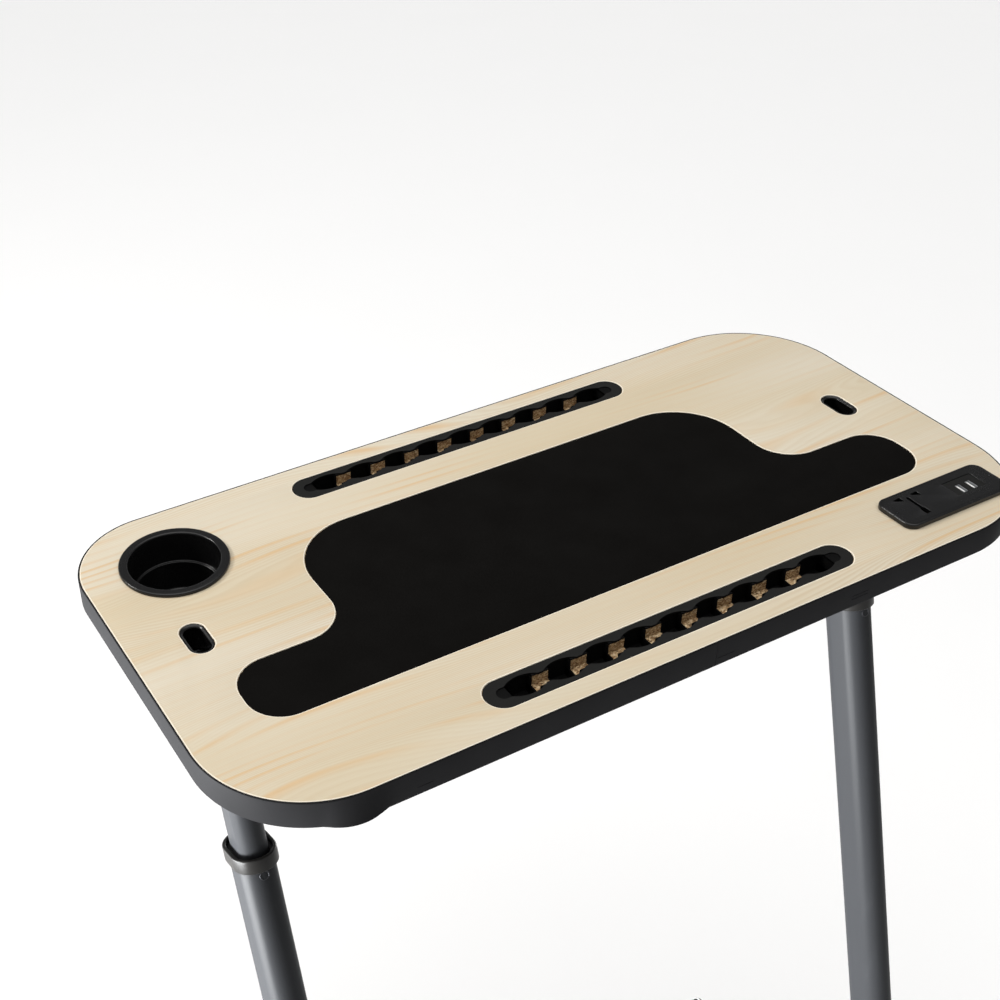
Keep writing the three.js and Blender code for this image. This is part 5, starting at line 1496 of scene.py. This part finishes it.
# Outlines seen from the side, as (y, z), and profiles, as (radius, height, rounding)
cheek = [(-8, 59.2), (-8, 56)] + arc_points(axle_y, axle_z, 8, 180, 360, 16)
cheek += arc_points(pin_y, pin_z, 4, 0, 90, 6) + [(15.8, 59.2)]
pedal_side = [(33.6, 50, 1.0), (40.6, 45.2, 1.0), (43, 51.8, 1.5), (55.2, 52, 2.0),
              (58.9, 56.2, 0.8), (57.4, 59.2, 0.8), (53, 55.4, 2.0), (33.6, 53.8, 1.2)]
ridge = [(44, 54.4, 0.2), (45.2, 54.4, 0.2), (45.0, 55.9, 0.3), (44.2, 55.9, 0.3)]
stem = [(0, 53.4, 0), (7, 53.4, 1.2), (7, 55.4, 0), (4, 55.4, 0), (4, 59.8, 0), (15, 59.8, 0.8),
        (15, 63.7, 0.8), (5, 63.7, 0.2), (5, 83.7, 1.0), (0, 83.7, 0)]
crown = [(4.4, 55.9, 0), (16, 55.9, 0.8), (16, 59.4, 1.2), (4.4, 59.4, 0)]
axle = [(0, -16.1, 0), (6, -16.1, 1.4), (6, -13.7, 0), (4, -13.7, 0), (4, 13.7, 0), (6, 13.7, 0),
        (6, 16.1, 1.4), (0, 16.1, 0)]
tyre = [(20, -10, 0.6), (22.4, -10, 1.0), (25, -6.6, 3.0), (25, 6.6, 3.0), (22.4, 10, 1.0),
        (20, 10, 0.6), (20, 3.4, 0.2), (19.2, 0, 0), (20, -3.4, 0.2)]
hub = [(4.3, -10.8, 0.3), (8, -10.8, 0.7), (8, -3.5, 1.2), (20.3, -3.5, 0), (20.3, 3.5, 0),
       (8, 3.5, 1.2), (8, 10.8, 0.7), (4.3, 10.8, 0.3)]
rib_count, faces_of_rib = 7, 6


def add_rod(mesh, place, radius, half_length, rounding, steps):
    """A solid rod along z, rounded at both ends."""
    corners = [(0, -half_length, 0), (radius, -half_length, rounding),
               (radius, half_length, rounding), (0, half_length, 0)]
    add_lathed(mesh, place, corners, 3, steps)


def add_pedal(place_name, place):
    """A brake pedal: the shoe and tip in one, four ridges for the sole, an eye and its pin."""
    pedal = bmesh.new()
    edge = rounded_edge(-pedal_half, pedal_half, 0.7, 0.7, 3)
    add_plate(pedal, place @ side_on, soft_corners(pedal_side, 4), edge)
    for row in range(4):
        corners = [(y + 2.8 * row, z, radius) for y, z, radius in ridge]
        edge = rounded_edge(-8.6, 8.6, 0.3, 0.3, 2)
        add_plate(pedal, place @ side_on, soft_corners(corners, 2), edge)
    pin_place = place @ Matrix.Translation((0, pin_y, pin_z)) @ z_to_right
    add_rod(pedal, pin_place, 2, pin_length, 0.3, 24)
    add_rod(pedal, pin_place, 3.7, pedal_half, 0.4, 32)
    name = f"brake_pedal_{place_name}"
    new_piece(f"pedal_{place_name}", pedal, "black_plastic", name, [name])


def add_caster(place_name, place, braked):
    """A caster: the stem stays with the base; the fork, the wheel and the pedal are bodies."""
    swivel = bmesh.new()
    add_lathed(swivel, place, stem, 4, 40)
    new_piece(f"stem_{place_name}", swivel, "bright_steel", "base", [f"caster_stem_{place_name}"])
    fork = bmesh.new()
    for low in (-fork_inside - cheek_thickness, fork_inside):
        high = low + cheek_thickness
        pin_hole = [(a + pin_y, b + pin_z) for a, b in ring_of_points(2.3, 20)]
        add_plate(fork, place @ side_on, cheek, rounded_edge(low, high, 0.5, 0.5, 3),
                  [(pin_hole, [(0, low), (0, high)])])
    add_lathed(fork, place, crown, 4, 48, closed=True)
    hub_place = place @ Matrix.Translation((0, axle_y, axle_z)) @ z_to_right
    add_lathed(fork, hub_place, axle, 4, 32)
    name = f"caster_fork_{place_name}"
    new_piece(f"fork_{place_name}", fork, "bright_steel", name, [name])
    wheel = bmesh.new()
    add_lathed(wheel, hub_place, tyre, 4, 72, closed=True)
    add_lathed(wheel, hub_place, hub, 4, 48, closed=True, finish=1)
    wheel.from_mesh(wheel_ribs(f"rib_rule_{place_name}", rib_count, hub_place @ from_metres))
    for face in list(wheel.faces)[-rib_count * faces_of_rib:]:
        face.material_index = 1
    name = f"caster_wheel_{place_name}"
    new_piece(f"wheel_{place_name}", wheel, "caster_plastic", name, [name],
              [finishes["caster_plastic"], finishes["nylon"]])
    if braked:
        add_pedal(place_name, place)


for side_name, side in sides:
    for end_name, y in (("rear", -326), ("front", 66)):
        place = on_floor @ Matrix.Translation((side * leg_x, y, 0))
        add_caster(f"{side_name}_{end_name}", place, end_name == "rear")
